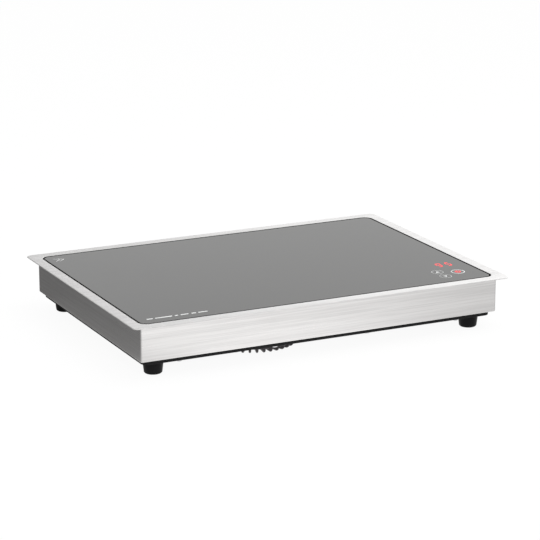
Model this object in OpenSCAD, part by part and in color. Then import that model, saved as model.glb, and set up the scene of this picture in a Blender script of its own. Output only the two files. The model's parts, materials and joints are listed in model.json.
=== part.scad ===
// Shallow induction hob: a steel top frame with a flush glass plate, a folded steel housing and
// a moulded base pan on four rubber feet, with the coil, the electronics and the fan inside.
// Origin: centre of the footprint, on the surface that the feet stand on.
// +X runs along the long front side, +Y points to the back, +Z points up.

/* [Top frame and glass] */
// Length of the top frame, along X
frame_l = 485; // [480:1:500]
// Width of the top frame, along Y
frame_w = 345; // [342:1:360]
// Sheet thickness at the frame's rim
frame_t = 1.1; // [0.9:0.1:1.2]
// Outside corner radius of the frame
frame_r = 7; // [6:0.5:12]
// Steel border seen between the outer edge and the joint
border = 14; // [14:0.5:16]
// Thickness of the glass plate
glass_t = 4; // [3:0.5:4]
// Width of the silicone joint round the glass
joint_w = 2; // [1.5:0.25:2.5]
// Width of the ledge that the glass sits on
ledge_w = 13; // [10:1:14]

/* [Housing and base] */
// Height from the worktop to the top of the frame
total_h = 65; // [65:1:75]
// Overhang of the frame past the housing's walls
overhang = 12; // [10:0.5:12]
// Sheet thickness of the housing
wall_t = 0.9; // [0.7:0.1:0.9]
// Outside bend radius of the housing's corners
bend_r = 2.4; // [1.5:0.1:4]
// Width of the lip folded in at the housing's lower edge
lip_w = 16; // [14:0.5:16]
// Height of the rubber feet
foot_h = 16; // [14:1:16]
// How far the base pan stands below the housing
pan_drop = 5; // [5:0.5:6]
// Inset of the base pan from the housing's walls
pan_inset = 4.5; // [4:0.5:7]
// Wall thickness of the moulded base pan
pan_t = 2; // [1.6:0.2:2]
// Distance of the feet from the middle, along X
foot_x = 206; // [200:1:206]
// Distance of the feet from the middle, along Y
foot_y = 137; // [134:1:137]
// Foot diameter at the top
foot_d = 24.5; // [20:0.5:25]

/* [Fan] */
// Fan axis, along X
fan_x = -57; // [-60:1:-55]
// Fan axis, along Y
fan_y = -82; // [-84:1:-80]
// Side of the square fan frame
fan_size = 120; // [118:1:120]
// Depth of the fan frame
fan_depth = 25; // [24:0.5:25]
// Outside radius of the guard's basket
guard_r = 56; // [54:1:58]
// Depth of the guard's basket below the base pan
guard_drop = 13; // [12:1:13]
// Number of ribs round the guard
guard_ribs = 40; // [24:1:44]
// Number of impeller blades
blades = 7; // [5:1:9]

/* [Coil] */
// Coil axis, along X
coil_x = -24; // [-26:1:-22]
// Coil axis, along Y
coil_y = -1; // [-3:1:1]
// Radius of the first turn
coil_r0 = 28; // [28:0.5:30]
// Number of turns
turns = 19; // [12:1:19]
// Distance from turn to turn
pitch = 3.5; // [3.3:0.1:3.5]
// Diameter of the stranded wire
wire_d = 3.2; // [2.6:0.1:3.2]

/* [Controls] */
// Touch key positions, from the middle of the glass
key_places = [[176, -114], [176, -133.6], [199.2, -122.7]];
// Middle of the two-digit display
display_at = [199, -88];

/* [Hidden] */
$fn = 48;

z_pan = foot_h;
z_floor = z_pan + pan_t;
z_house = z_pan + pan_drop;
z_rim = total_h - frame_t;
glass_sink = 0.2;
z_glass_top = total_h - glass_sink;
z_glass = z_glass_top - glass_t;
bed_t = 0.5;
seat_t = 0.9;
z_seat = z_glass - bed_t;

opening_l = frame_l - 2 * border;
opening_w = frame_w - 2 * border;
opening_r = 11;
glass_l = opening_l - 2 * joint_w;
glass_w = opening_w - 2 * joint_w;
glass_r = opening_r - joint_w;
house_l = frame_l - 2 * overhang;
house_w = frame_w - 2 * overhang;
pan_l = house_l - 2 * pan_inset;
pan_w = house_w - 2 * pan_inset;
pan_r = 8;

// Fasteners: shank radius, and the radius of the holes they pass
screw_r = 1.6;
hole_r = 1.7;
foot_shank_r = 2;
foot_hole_r = 2.1;
guard_shank_r = 2;
guard_hole_r = 2.2;
fine_r = 1.3;
fine_hole_r = 1.4;

screw_x = [-180, -60, 60, 180];
screw_inset = 5;
screw_side_y = [-50, 50];
base_screw_at = concat(
    [for (x = screw_x, s = [-1, 1]) [x, s * (pan_w / 2 - screw_inset)]],
    [for (s = [-1, 1], y = screw_side_y) [s * (pan_l / 2 - screw_inset), y]]);

// Coil stack, from the glass downwards
mica_t = 0.6;
z_mica = z_glass - mica_t;
z_wire = z_mica - 0.1 - wire_d / 2;
carrier_t = 2.8;
z_carrier = z_wire - wire_d / 2 - 0.1 - carrier_t;
ferrite_t = 5;
carrier_r = 100;
ear_r = 110;
ear_angles = [-45, 45, 135, 185];
ear_at = [for (a = ear_angles) [coil_x + ear_r * cos(a), coil_y + ear_r * sin(a)]];
z_post = z_carrier - 10;
spokes = 6;

// Power board and control board
board = [72, -70, 214, 124];
board_t = 1.6;
z_board = z_floor + 8;
z_parts = z_board + board_t;
board_screw_at = [for (x = [78, 208], y = [-64, 118]) [x, y]];
z_bracket = z_glass - 14.8;
control = [160, -143, 213, -72];
z_control = z_bracket + 6;
z_keys = z_control + board_t;
control_screw_at = [for (x = [166, foot_x], y = [-foot_y, -76]) [x, y]];

// Fan, measured from its own axis
fan_pitch = 52.5;
fan_bore_r = fan_size / 2 - 2;
hub_r = 20.5;
shaft_r = 1.6;
bearing_gap = 0.05;
sleeve_r = 3.5;
tube_r = 4.5;
fan_screw_at = [for (x = [-1, 1], y = [-1, 1]) [fan_x + x * fan_pitch, fan_y + y * fan_pitch]];

gland_at = [-190, 40];
gland_hole_r = 7.1;
cord_r = 3.6;
earth_at = [-120, house_w / 2 - 11.5];
terminal_at = [[77.5, 20], [77.5, -20]];

// ---- shared shapes ----

module rounded(l, w, r) {
    square([l - 2 * r, w], center = true);
    square([l, w - 2 * r], center = true);
    for (x = [-1, 1], y = [-1, 1])
        translate([x * (l / 2 - r), y * (w / 2 - r)]) circle(r = r);
}

module slab(l, w, r, z0, z1) {
    translate([0, 0, z0]) linear_extrude(z1 - z0) rounded(l, w, r);
}

module rod(at, r, z0, z1) {
    translate([at.x, at.y, z0]) cylinder(r = r, h = z1 - z0);
}

module block(x0, y0, z0, x1, y1, z1) {
    translate([x0, y0, z0]) cube([x1 - x0, y1 - y0, z1 - z0]);
}

module washer(at, r_in, r_out, z0, z1) {
    difference() {
        rod(at, r_out, z0, z1);
        rod(at, r_in, z0 - 1, z1 + 1);
    }
}

// A pan-head screw: its head spans z0 to z1, and its shank goes on from z1 to z2
module screw(at, head_r, shank_r, z0, z1, z2) {
    rod(at, head_r, min(z0, z1), max(z0, z1));
    rod(at, shank_r, min(z1, z2), max(z1, z2));
}

function unit(v) = v / norm(v);

function headings(p) =
    [for (i = [0:len(p) - 1]) unit(p[min(i + 1, len(p) - 1)] - p[max(i - 1, 0)])];

function carried(t, i, u) =
    i == len(t) ? [] :
    let (v = unit(u - (u * t[i]) * t[i])) concat([v], carried(t, i + 1, v));

// One point on the smooth curve through p, a share s of the way from p[i] to p[i + 1]
function curve_point(p, i, s) =
    let (a = p[max(i - 1, 0)], b = p[i], c = p[i + 1], d = p[min(i + 2, len(p) - 1)])
    0.5 * (2 * b + (c - a) * s + (2 * a - 5 * b + 4 * c - d) * s * s
    + (3 * b - a - 3 * c + d) * s * s * s);

function smooth(p, n) = concat(
    [for (i = [0:len(p) - 2], k = [0:n - 1]) curve_point(p, i, k / n)], [p[len(p) - 1]]);

function helix(at, r, z0, z1, turn_count, n) =
    [for (i = [0:turn_count * n]) let (a = 360 * i / n)
    [at.x + r * cos(a), at.y + r * sin(a), z0 + (z1 - z0) * i / (turn_count * n)]];

// A round wire of radius r along the points p
module wire(p, r, sides = 6) {
    t = headings(p);
    start = abs(t[0].z) < 0.8 ? [0, 0, 1] : [1, 0, 0];
    u = carried(t, 0, start);
    last = len(p) - 1;
    points = [for (i = [0:last], k = [0:sides - 1]) let (a = 360 * k / sides)
        p[i] + r * (cos(a) * u[i] + sin(a) * cross(t[i], u[i]))];
    walls = [for (i = [0:last - 1], k = [0:sides - 1]) let (
        a = i * sides + k, b = i * sides + (k + 1) % sides, c = a + sides, d = b + sides)
        each [[a, c, d], [a, d, b]]];
    caps = [[for (k = [0:sides - 1]) k], [for (k = [sides - 1:-1:0]) last * sides + k]];
    polyhedron(points, concat(walls, caps));
}

// ---- outside ----

module glass_plate() color("#101214") slab(glass_l, glass_w, glass_r, z_glass, z_glass_top);

// The bed under the rim of the glass, and the joint that fills the gap round it
module glass_seal() color("#1a1a1b") {
    bed_w = 6;
    difference() {
        slab(opening_l, opening_w, opening_r, z_seat, z_glass_top);
        slab(glass_l, glass_w, glass_r, z_glass, z_glass_top + 1);
        slab(glass_l - 2 * bed_w, glass_w - 2 * bed_w, 3, z_seat - 1, z_glass + 1);
    }
}

// One pressed sheet: a flat rim, a step down at the opening and a ledge for the glass
module top_frame() color("#c9cacb") difference() {
    union() {
        slab(frame_l, frame_w, frame_r, z_rim, total_h);
        slab(opening_l + 2 * seat_t, opening_w + 2 * seat_t, opening_r + seat_t,
            z_seat - seat_t, z_rim + 0.5);
    }
    slab(opening_l, opening_w, opening_r, z_seat, total_h + 1);
    slab(opening_l - 2 * ledge_w, opening_w - 2 * ledge_w, 4, z_seat - seat_t - 1, z_seat + 1);
}

module housing_shell() color("#c2c3c4") {
    vent_w = 3;
    vent_x = [for (i = [0:21]) 30 + 8 * i];
    difference() {
        slab(house_l, house_w, bend_r, z_house, z_rim);
        slab(house_l - 2 * wall_t, house_w - 2 * wall_t, bend_r - wall_t,
            z_house + wall_t, z_rim + 1);
        slab(house_l - 2 * wall_t - 2 * lip_w + 2, house_w - 2 * wall_t - 2 * lip_w + 2, 6,
            z_house - 1, z_house + wall_t + 1);
        for (p = base_screw_at) rod(p, hole_r, z_house - 1, z_house + wall_t + 1);
        rod(earth_at, foot_hole_r, z_house - 1, z_house + wall_t + 1);
        for (x = vent_x)
            translate([x - vent_w / 2, house_w / 2 - 3, z_house + 12]) cube([vent_w, 6, 20]);
        translate([gland_at[0], house_w / 2 - 3, gland_at[1]])
            rotate([-90, 0, 0]) cylinder(r = gland_hole_r, h = 6);
    }
}

module base_pan() color("#1c1c1e") {
    foot_at = [for (x = [-1, 1], y = [-1, 1]) [x * foot_x, y * foot_y]];
    slot_x = [for (i = [0:14]) 84 + 8 * i];
    difference() {
        union() {
            difference() {
                slab(pan_l, pan_w, pan_r, z_pan, z_house);
                slab(pan_l - 2 * pan_t, pan_w - 2 * pan_t, pan_r - pan_t, z_floor, z_house + 1);
            }
            intersection() {
                slab(pan_l, pan_w, pan_r, z_pan, z_house);
                union() for (p = base_screw_at) rod(p, 4, z_pan, z_house);
            }
            for (p = foot_at) rod(p, 5.5, z_pan, z_floor + 12);
            for (p = ear_at) rod(p, 4.5, z_pan, z_post);
            for (p = board_screw_at) rod(p, 3.5, z_pan, z_board);
            for (p = control_screw_at) rod(p, 3.5, z_pan, z_bracket);
        }
        for (p = base_screw_at) rod(p, hole_r, z_pan - 1, z_house + 1);
        for (p = foot_at) rod(p, foot_hole_r, z_pan - 1, z_floor + 11);
        for (p = ear_at) rod(p, hole_r, z_post - 14, z_post + 1);
        for (p = board_screw_at) rod(p, fine_hole_r, z_floor + 1, z_board + 1);
        for (p = control_screw_at) rod(p, fine_hole_r, z_bracket - 11, z_bracket + 1);
        for (p = fan_screw_at) rod(p, guard_hole_r, z_pan - 1, z_floor + 1);
        rod([fan_x, fan_y], guard_r - 2, z_pan - 1, z_floor + 1);
        for (x = slot_x) block(x - 1.5, 127, z_pan - 1, x + 1.5, 142, z_floor + 1);
    }
}

module base_screws() color("#8f9194")
    for (p = base_screw_at) screw(p, 3.5, screw_r, z_pan - 2, z_pan, z_house + 7);

// A tapered rubber foot with a counterbore for its screw
module foot(x, y) color("#17171a") translate([x * foot_x, y * foot_y, 0]) {
    taper = 1.6;
    difference() {
        rotate_extrude() {
            top_r = foot_d / 2;
            polygon([[0, 0], [top_r - taper - 1, 0], [top_r - taper, 1.2],
                [top_r, foot_h - 2], [top_r, foot_h], [0, foot_h]]);
        }
        translate([0, 0, -1]) cylinder(r = 4.6, h = 7);
        translate([0, 0, -1]) cylinder(r = foot_hole_r, h = foot_h + 2);
    }
}

module foot_front_left() foot(-1, -1);
module foot_front_right() foot(1, -1);
module foot_rear_left() foot(-1, 1);
module foot_rear_right() foot(1, 1);

module foot_screws() color("#a4a6a8")
    for (x = [-1, 1], y = [-1, 1])
        screw([x * foot_x, y * foot_y], 4, foot_shank_r, 3.4, 6, z_floor + 9);

// A round basket of ribs under the fan, with a collar, a mounting ring and four ears
module fan_guard() color("#232126") {
    rib_t = 3;
    rib_h = 4;
    ring_t = 1.6;
    collar_h = 5.4;
    post_w = 3.5;
    hub_disc_r = 22;
    z_low = z_pan - guard_drop;
    z_collar = z_pan - ring_t - collar_h;
    rib_a = [for (i = [0:guard_ribs - 1]) 360 * i / guard_ribs];
    ear_a = [45, 135, 225, 315];
    ear_at = fan_pitch * sqrt(2);
    translate([fan_x, fan_y, z_low]) linear_extrude(rib_h) {
        circle(r = hub_disc_r);
        difference() {
            circle(r = 38);
            circle(r = 35.5);
        }
        for (a = rib_a) rotate(a)
            translate([hub_disc_r - 1, -rib_t / 2]) square([guard_r - hub_disc_r + 1, rib_t]);
    }
    translate([fan_x, fan_y, z_low + rib_h]) linear_extrude(z_collar - z_low - rib_h)
        for (a = rib_a) rotate(a)
            translate([guard_r - post_w, -rib_t / 2]) square([post_w, rib_t]);
    translate([fan_x, fan_y, z_collar]) linear_extrude(collar_h) difference() {
        circle(r = guard_r + 0.4);
        circle(r = guard_r - post_w - 1);
    }
    translate([fan_x, fan_y, z_pan - ring_t]) linear_extrude(ring_t) difference() {
        union() {
            circle(r = guard_r + 4);
            for (a = ear_a) rotate(a) {
                translate([ear_at, 0]) circle(r = 6);
                translate([0, -6]) square([ear_at, 12]);
            }
        }
        circle(r = guard_r - post_w - 1);
        for (a = ear_a) rotate(a) translate([ear_at, 0]) circle(r = guard_hole_r);
    }
}

module guard_screws() color("#8f9194")
    for (p = fan_screw_at)
        screw(p, 3.8, guard_shank_r, z_pan - 3.6, z_pan - 1.6, z_floor + fan_depth - 3);

// The gland's body and its domed nut, with the bore for the mains lead
module cord_gland() color("#2a2b2d")
    translate([gland_at[0], house_w / 2, gland_at[1]]) rotate([-90, 0, 0]) difference() {
        union() {
            rotate_extrude() polygon([[0, 0], [9.5, 0], [9.5, 6.5], [8.6, 8.8], [6, 10.8], [0, 10.8]]);
            cylinder(r = 10.8, h = 3.2, $fn = 6);
            translate([0, 0, -10]) cylinder(r = gland_hole_r - 0.1, h = 11);
        }
        translate([0, 0, -11]) cylinder(r = cord_r, h = 23);
    }

module gland_nut() color("#2a2b2d")
    translate([gland_at[0], house_w / 2 - wall_t, gland_at[1]]) rotate([90, 0, 0]) difference() {
        cylinder(r = 10.5, h = 4.5, $fn = 6);
        translate([0, 0, -1]) cylinder(r = gland_hole_r, h = 7);
    }

// ---- coil ----

module mica_sheet() color("#cfc3a0") washer([coil_x, coil_y], 7, 104, z_mica, z_glass);

// A flat two-centre spiral: each half turn is a half ring of its own radius
module induction_coil() color("#b5713a")
    translate([coil_x, coil_y, z_wire])
        for (k = [0:2 * turns - 1])
            translate([k % 2 * pitch / 2, 0, 0]) rotate([0, 0, k % 2 * 180])
                rotate_extrude(angle = 180)
                    translate([coil_r0 + k * pitch / 2, 0]) circle(d = wire_d, $fn = 24);

module coil_carrier() color("#d8d4c8") {
    z1 = z_carrier + carrier_t;
    difference() {
        union() {
            washer([coil_x, coil_y], 9, 24, z_carrier, z1);
            washer([coil_x, coil_y], 92, carrier_r, z_carrier, z1);
            translate([coil_x, coil_y, 0]) {
                for (i = [0:spokes - 1]) rotate(30 + 360 * i / spokes)
                    block(23, -7, z_carrier, 93, 7, z1);
                for (a = ear_angles) rotate(a) {
                    block(95, -6, z_carrier, ear_r, 6, z1);
                    rod([ear_r, 0], 6, z_carrier, z1);
                }
            }
        }
        for (p = ear_at) rod(p, 1.9, z_carrier - 1, z1 + 1);
    }
}

module ferrite_bars() color("#3b3a3c") translate([coil_x, coil_y, 0])
    for (i = [0:spokes - 1]) rotate(30 + 360 * i / spokes)
        block(28, -6, z_carrier - ferrite_t, 88, 6, z_carrier);

module carrier_springs() color("#9fa1a3")
    for (p = ear_at) wire(helix(p, 3.3, z_post + 0.6, z_carrier - 0.6, 4, 10), 0.45);

module carrier_screws() color("#8f9194")
    for (p = ear_at)
        screw(p, 4, screw_r, z_carrier + carrier_t + 2, z_carrier + carrier_t, z_post - 10);

module sensor_holder() color("#e4e2da") difference() {
    union() {
        rod([coil_x, coil_y], 8.8, z_carrier - 4, z_carrier + carrier_t);
        rod([coil_x, coil_y], 11, z_carrier - 1.6, z_carrier);
    }
    rod([coil_x, coil_y], 6.4, z_carrier - 2.4, z_carrier + carrier_t + 1);
    rod([coil_x, coil_y], 2.5, z_carrier - 5, z_carrier);
}

module temperature_sensor() color("#b9bcc0") {
    rod([coil_x, coil_y], 5.5, z_glass - 2.8, z_glass);
    rod([coil_x, coil_y], 1.6, z_glass - 6, z_glass - 2.8);
}

module sensor_spring() color("#9fa1a3")
    wire(helix([coil_x, coil_y], 4.2, z_carrier - 1.9, z_glass - 3.3, 3, 10), 0.4);

module coil_leads() color("#b5713a") {
    end = coil_r0 + turns * pitch;
    outer = [[coil_x + end, coil_y, z_wire], [coil_x + end + 1, coil_y + 5, z_wire],
        [78, 11, z_wire - 0.6], [80.5, 15, z_wire - 6], [79.5, 18.5, 46], [77.5, 20, z_parts + 9]];
    inner = [[coil_x + coil_r0, coil_y, z_wire], [coil_x + coil_r0, coil_y - 3, z_wire - 2.4],
        [8, coil_y - 7, z_wire - 7.2], [30, -9, 50.4], [62, -13, 48], [77.5, -20, z_parts + 9]];
    for (p = [outer, inner]) wire(smooth(p, 4), 1.5);
}

module coil_terminals() color("#c3a14e") for (p = terminal_at) {
    rod(p, 3.6, z_parts, z_parts + 7);
    rod(p, 2.6, z_parts + 7, z_parts + 8.6);
}

// ---- power board ----

module power_board() color("#2f6b3a") difference() {
    block(board[0], board[1], z_board, board[2], board[3], z_parts);
    for (p = board_screw_at) rod(p, fine_hole_r, z_board - 1, z_parts + 1);
}

module board_screws() color("#a4a6a8")
    for (p = board_screw_at) screw(p, 2.6, fine_r, z_parts + 1.8, z_parts, z_floor + 1.5);

// An extruded profile on two legs, with fins above and room for the devices below
module heatsink() color("#b8babd") {
    legs = [[84, 3], [141, 3]];
    translate([0, -20, 0]) rotate([90, 0, 0]) mirror([0, 0, 1]) linear_extrude(110) {
        translate([84, z_parts + 5.4]) square([60, 4]);
        for (leg = legs) translate([leg[0], z_parts]) square([leg[1], 6]);
        for (i = [0:10]) translate([84 + 5.84 * i, z_parts + 9]) square([1.6, 10]);
    }
}

module power_transistor() color("#26272a") block(96, 2, z_parts + 0.4, 112, 23, z_parts + 5.4);
module bridge_rectifier() color("#26272a") block(100, 48, z_parts + 0.8, 130, 68, z_parts + 5.4);
module resonant_capacitor() color("#c9b23c") block(150, -8, z_parts, 174, 34, z_parts + 24);

module filter_capacitors() color("#d6c25a") {
    block(150, 42, z_parts, 166, 70, z_parts + 22);
    block(150, 78, z_parts, 165, 104, z_parts + 18);
}

module choke_core() color("#4a4f3b") washer([190, 90], 10, 16, z_parts + 3, z_parts + 15);

module choke_winding() color("#b5713a") translate([190, 90, z_parts + 9.1])
    for (i = [0:15]) rotate([0, 0, 22.5 * i]) translate([13, 0, 0]) rotate([90, 0, 0])
        rotate_extrude() translate([7.8, 0]) circle(r = 0.9, $fn = 16);

module supply_transformer() color("#d9b84a") {
    block(184, -34, z_parts, 204, -14, z_parts + 4);
    block(187, -32, z_parts + 4, 201, -16, z_parts + 14);
    block(184, -34, z_parts + 14, 204, -14, z_parts + 17);
}

module smoothing_capacitors() color("#23324f")
    for (x = [154, 168]) rod([x, -30], 5, z_parts, z_parts + 17);

module relay() color("#2c4c7e") block(186, 40, z_parts, 205, 56, z_parts + 15);

module mains_fuse() color("#dfe6e8") translate([192, 8, z_parts + 5]) rotate([-90, 0, 0]) {
    cylinder(r = 2.5, h = 20);
}

module fuse_clips() color("#c8cacc") for (y = [9, 23]) difference() {
    block(188.6, y, z_parts, 195.4, y + 4, z_parts + 7.2);
    translate([192, y - 1, z_parts + 5]) rotate([-90, 0, 0]) cylinder(r = 2.5, h = 6);
    block(190.4, y - 1, z_parts + 6, 193.6, y + 5, z_parts + 8);
}

module board_sockets() color("#ece9df")
    for (x = [88, 102, 118, 142]) difference() {
        block(x, -68, z_parts, x + 10, -61, z_parts + 7);
        block(x + 1, -67, z_parts + 2, x + 9, -62, z_parts + 8);
    }

// ---- mains side ----

module terminal_block() color("#e8e6de") {
    ways = [0, 1, 2];
    difference() {
        block(-178, 114, z_floor, -142, 134, z_floor + 15);
        for (i = ways) {
            rod([-171 + 11 * i, 119], 2.4, z_floor + 7, z_floor + 16);
            rod([-171 + 11 * i, 129], 2.4, z_floor + 7, z_floor + 16);
            translate([-171 + 11 * i, 113, z_floor + 5]) rotate([-90, 0, 0])
                cylinder(r = 1.7, h = 22);
        }
    }
}

module mains_wires() for (i = [0, 1]) {
    side = 5.5 * i;
    color(i == 0 ? "#6b4128" : "#2f62b0")
        wire(smooth([[-171 + 11 * i, 134, z_floor + 5], [-168 + 11 * i, 138.6 - side / 3, z_floor + 5],
            [-130, 142 - side, z_floor + 4.4], [-40, 142 - side, z_floor + 4.4],
            [50, 138 - side, z_floor + 4.4], [70, 128 - side, z_floor + 13],
            [80 - side, 112 - side, z_parts + 8], [82 - side, 104 - side, z_parts + 1.3]], 2), 1.1);
}

module earth_stud() color("#a4a6a8")
    screw(earth_at, 3.2, foot_shank_r, z_house - 2, z_house, z_house + 9);

module earth_nut() color("#a4a6a8") difference() {
    translate([earth_at.x, earth_at.y, z_house + wall_t]) cylinder(r = 4, h = 3.2, $fn = 6);
    rod(earth_at, foot_hole_r, z_house, z_house + 6);
}

// ---- controls ----

module control_bracket() color("#3a3b3e") {
    x_mid = (control[0] + control[2]) / 2;
    y_mid = (control[1] + control[3]) / 2;
    difference() {
        union() {
            block(control[0], control[1], z_bracket, control[2], control[3], z_bracket + 2);
            for (p = control_screw_at) rod(p, 3.2, z_bracket, z_control);
        }
        block(x_mid - 12, y_mid - 22, z_bracket - 1, x_mid + 12, y_mid + 22, z_bracket + 3);
        for (p = control_screw_at) rod(p, fine_hole_r, z_bracket - 1, z_control + 1);
    }
}

module control_board() color("#2f6b3a") difference() {
    block(control[0], control[1], z_control, control[2], control[3], z_keys);
    for (p = control_screw_at) rod(p, fine_hole_r, z_control - 1, z_keys + 1);
}

module control_screws() color("#a4a6a8")
    for (p = control_screw_at) screw(p, 2.6, fine_r, z_keys + 1.8, z_keys, z_bracket - 9);

module display_module() color("#e8e8e6")
    translate([display_at.x, display_at.y, z_keys]) block(-13.5, -9, 0, 13.5, 9, 6.8);

module touch_springs() color("#b9a55c")
    for (p = key_places) wire(helix(p, 4.6, z_keys + 0.4, z_glass - 0.4, 4, 10), 0.35);

module indicator_lamps() color("#d0342c")
    for (p = key_places) rod(p, 1.5, z_keys, z_keys + 2);

module buzzer() color("#1f2022") rod([176, -92], 6, z_keys, z_keys + 6.4);

module ribbon_cable() color("#cfd3d6") {
    x0 = 143.3;
    x1 = 150.7;
    z0 = z_control - 2;
    t = 0.6;
    block(163.4, -96, z0, 164, -88.6, z_control);
    block(x0, -96, z0, 164, -88.6, z0 + t);
    block(x0, -96, z0 + t, x1, -64.7, z0 + 2 * t);
    block(x0, -65.3, z_parts + 4, x1, -64.7, z0 + 2 * t);
}

module signal_leads() color("#303033") {
    fan_lead = [[1, -28, 44.2], [8, -32, 43.9], [40, -52, 34], [76, -60, 40], [92, -64.5, 40],
        [93, -64.5, z_parts + 2.8]];
    sensor_lead = [[coil_x, coil_y, z_carrier - 2.6], [coil_x + 3, coil_y - 6, 47.4],
        [10, -28, 46.4], [60, -46, 44], [100, -63, 44], [107, -64.5, 41], [107, -64.5, z_parts + 2.8]];
    wire(smooth(fan_lead, 3), 0.9);
    wire(smooth(sensor_lead, 3), 0.9);
}

// ---- fan ----

module fan_frame() color("#222226") translate([fan_x, fan_y, 0]) {
    z0 = z_floor;
    z1 = z_floor + fan_depth;
    difference() {
        slab(fan_size, fan_size, 6, z0, z1);
        rod([0, 0], fan_bore_r, z0 - 1, z1 + 1);
        for (x = [-1, 1], y = [-1, 1])
            rod([x * fan_pitch, y * fan_pitch], guard_hole_r, z0 - 1, z1 + 1);
    }
    difference() {
        union() {
            for (a = [0, 90]) rotate(a + 20) block(-fan_bore_r - 0.8, -2, z1 - 3, fan_bore_r + 0.8, 2, z1);
            rod([0, 0], 21, z1 - 3, z1);
            rod([0, 0], tube_r, z0 + 7.5, z1);
        }
        rod([0, 0], sleeve_r, z0 + 6, z1 - 2);
    }
}

module fan_stator() color("#8c4f2a") translate([fan_x, fan_y, 0]) difference() {
    rod([0, 0], 15.8, z_floor + 8, z_floor + 18);
    rod([0, 0], tube_r, z_floor + 7, z_floor + 19);
    for (i = [0:3]) rotate(90 * i) block(8, -1.5, z_floor + 7, 17, 1.5, z_floor + 19);
}

module fan_bearing() color("#b08d4a")
    washer([fan_x, fan_y], shaft_r + bearing_gap, sleeve_r, z_floor + 7.5, z_floor + fan_depth - 3.5);

module fan_impeller() color("#2a2a2e") translate([fan_x, fan_y, 0]) {
    z0 = z_floor + 2;
    blade_r = fan_bore_r - 1.5;
    difference() {
        rod([0, 0], hub_r, z0, z0 + 17);
        rod([0, 0], hub_r - 1.8, z0 + 2, z0 + 18);
    }
    washer([0, 0], shaft_r, 3.2, z0 + 1.9, z0 + 4.5);
    intersection() {
        washer([0, 0], hub_r - 0.4, blade_r, z0, z0 + 17);
        union() for (i = [0:blades - 1]) rotate(360 * i / blades)
            translate([(hub_r + blade_r) / 2, 0, z0 + 8.8]) rotate([32, 0, 0])
                cube([blade_r - hub_r + 6, 26, 1.6], center = true);
    }
}

module fan_magnet() color("#4b4c50")
    washer([fan_x, fan_y], hub_r - 3.8, hub_r - 1.8, z_floor + 6, z_floor + 18);

module fan_shaft() color("#c8cacc")
    rod([fan_x, fan_y], shaft_r, z_floor + 4, z_floor + fan_depth - 4);

glass_plate();
glass_seal();
top_frame();
housing_shell();
base_pan();
base_screws();
foot_front_left();
foot_front_right();
foot_rear_left();
foot_rear_right();
foot_screws();
fan_guard();
guard_screws();
cord_gland();
gland_nut();
mica_sheet();
induction_coil();
coil_carrier();
ferrite_bars();
carrier_springs();
carrier_screws();
sensor_holder();
temperature_sensor();
sensor_spring();
coil_leads();
coil_terminals();
power_board();
board_screws();
heatsink();
power_transistor();
bridge_rectifier();
resonant_capacitor();
filter_capacitors();
choke_core();
choke_winding();
supply_transformer();
smoothing_capacitors();
relay();
mains_fuse();
fuse_clips();
board_sockets();
terminal_block();
mains_wires();
earth_stud();
earth_nut();
control_bracket();
control_board();
control_screws();
display_module();
touch_springs();
indicator_lamps();
buzzer();
ribbon_cable();
signal_leads();
fan_frame();
fan_stator();
fan_bearing();
fan_impeller();
fan_magnet();
fan_shaft();
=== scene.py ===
# %% [markdown]
# # A worktop induction hob, dressed in Blender
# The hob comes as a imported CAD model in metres: a glass plate in a steel top frame, a folded
# steel housing, a moulded base on rubber feet, and the coil, boards and fan inside. This lesson
# puts the real look on it. What shows from outside is built again with soft edges, and what sits
# inside keeps its CAD shape and gets a finish. Nothing is moved, so every place is read from CAD.

import json
import math

import bmesh
import bpy
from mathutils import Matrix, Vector


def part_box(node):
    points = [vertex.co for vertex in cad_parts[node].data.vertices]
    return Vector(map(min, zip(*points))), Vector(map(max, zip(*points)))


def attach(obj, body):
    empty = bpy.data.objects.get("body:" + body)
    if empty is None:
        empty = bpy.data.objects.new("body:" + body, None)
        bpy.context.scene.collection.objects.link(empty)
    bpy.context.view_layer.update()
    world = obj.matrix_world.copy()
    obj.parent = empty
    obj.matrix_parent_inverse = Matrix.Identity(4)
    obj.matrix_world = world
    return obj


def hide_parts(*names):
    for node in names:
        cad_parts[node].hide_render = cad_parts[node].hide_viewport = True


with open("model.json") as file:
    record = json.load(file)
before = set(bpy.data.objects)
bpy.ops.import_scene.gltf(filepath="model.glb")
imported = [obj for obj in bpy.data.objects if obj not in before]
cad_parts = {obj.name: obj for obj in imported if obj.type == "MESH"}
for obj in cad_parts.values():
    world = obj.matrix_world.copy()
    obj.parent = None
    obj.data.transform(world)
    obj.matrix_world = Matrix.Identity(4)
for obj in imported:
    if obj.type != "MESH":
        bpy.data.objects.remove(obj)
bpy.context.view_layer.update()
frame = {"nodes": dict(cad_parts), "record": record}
scene = bpy.context.scene
MM = 0.001
SHARP = math.radians(38)

# %% [markdown]
# ## Camera, floor and light
# A hob is long and very flat, so it is looked at from only sixteen degrees above the table with
# a long lens. Steel and glass show nothing but what stands round them, so the light matters more
# than the paint: a bright wall behind the right side whitens the rim and turns the black glass
# grey, and a dim corner at the back left gives the side wall its dark tone.

# %% Camera
CAMERA_PLACE = (-1.1951, -2.4600, 0.8269)
CAMERA_HEADING = (0.42305, 0.86499, -0.26986)
lens = bpy.data.cameras.new("camera")
lens.lens, lens.sensor_width = 156.37, 36.0
lens.clip_start, lens.clip_end = 0.05, 60.0
camera = bpy.data.objects.new("camera", lens)
camera.location = CAMERA_PLACE
camera.rotation_euler = Vector(CAMERA_HEADING).to_track_quat("-Z", "Y").to_euler()
scene.collection.objects.link(camera)
scene.camera = camera
scene.view_settings.view_transform = "Standard"
print("camera stands", round(Vector(CAMERA_PLACE).length, 2), "m away")


# %% [markdown]
# A small helper adds one node to any node tree. Values go straight onto its sockets, and sockets
# given as values become links.

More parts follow.
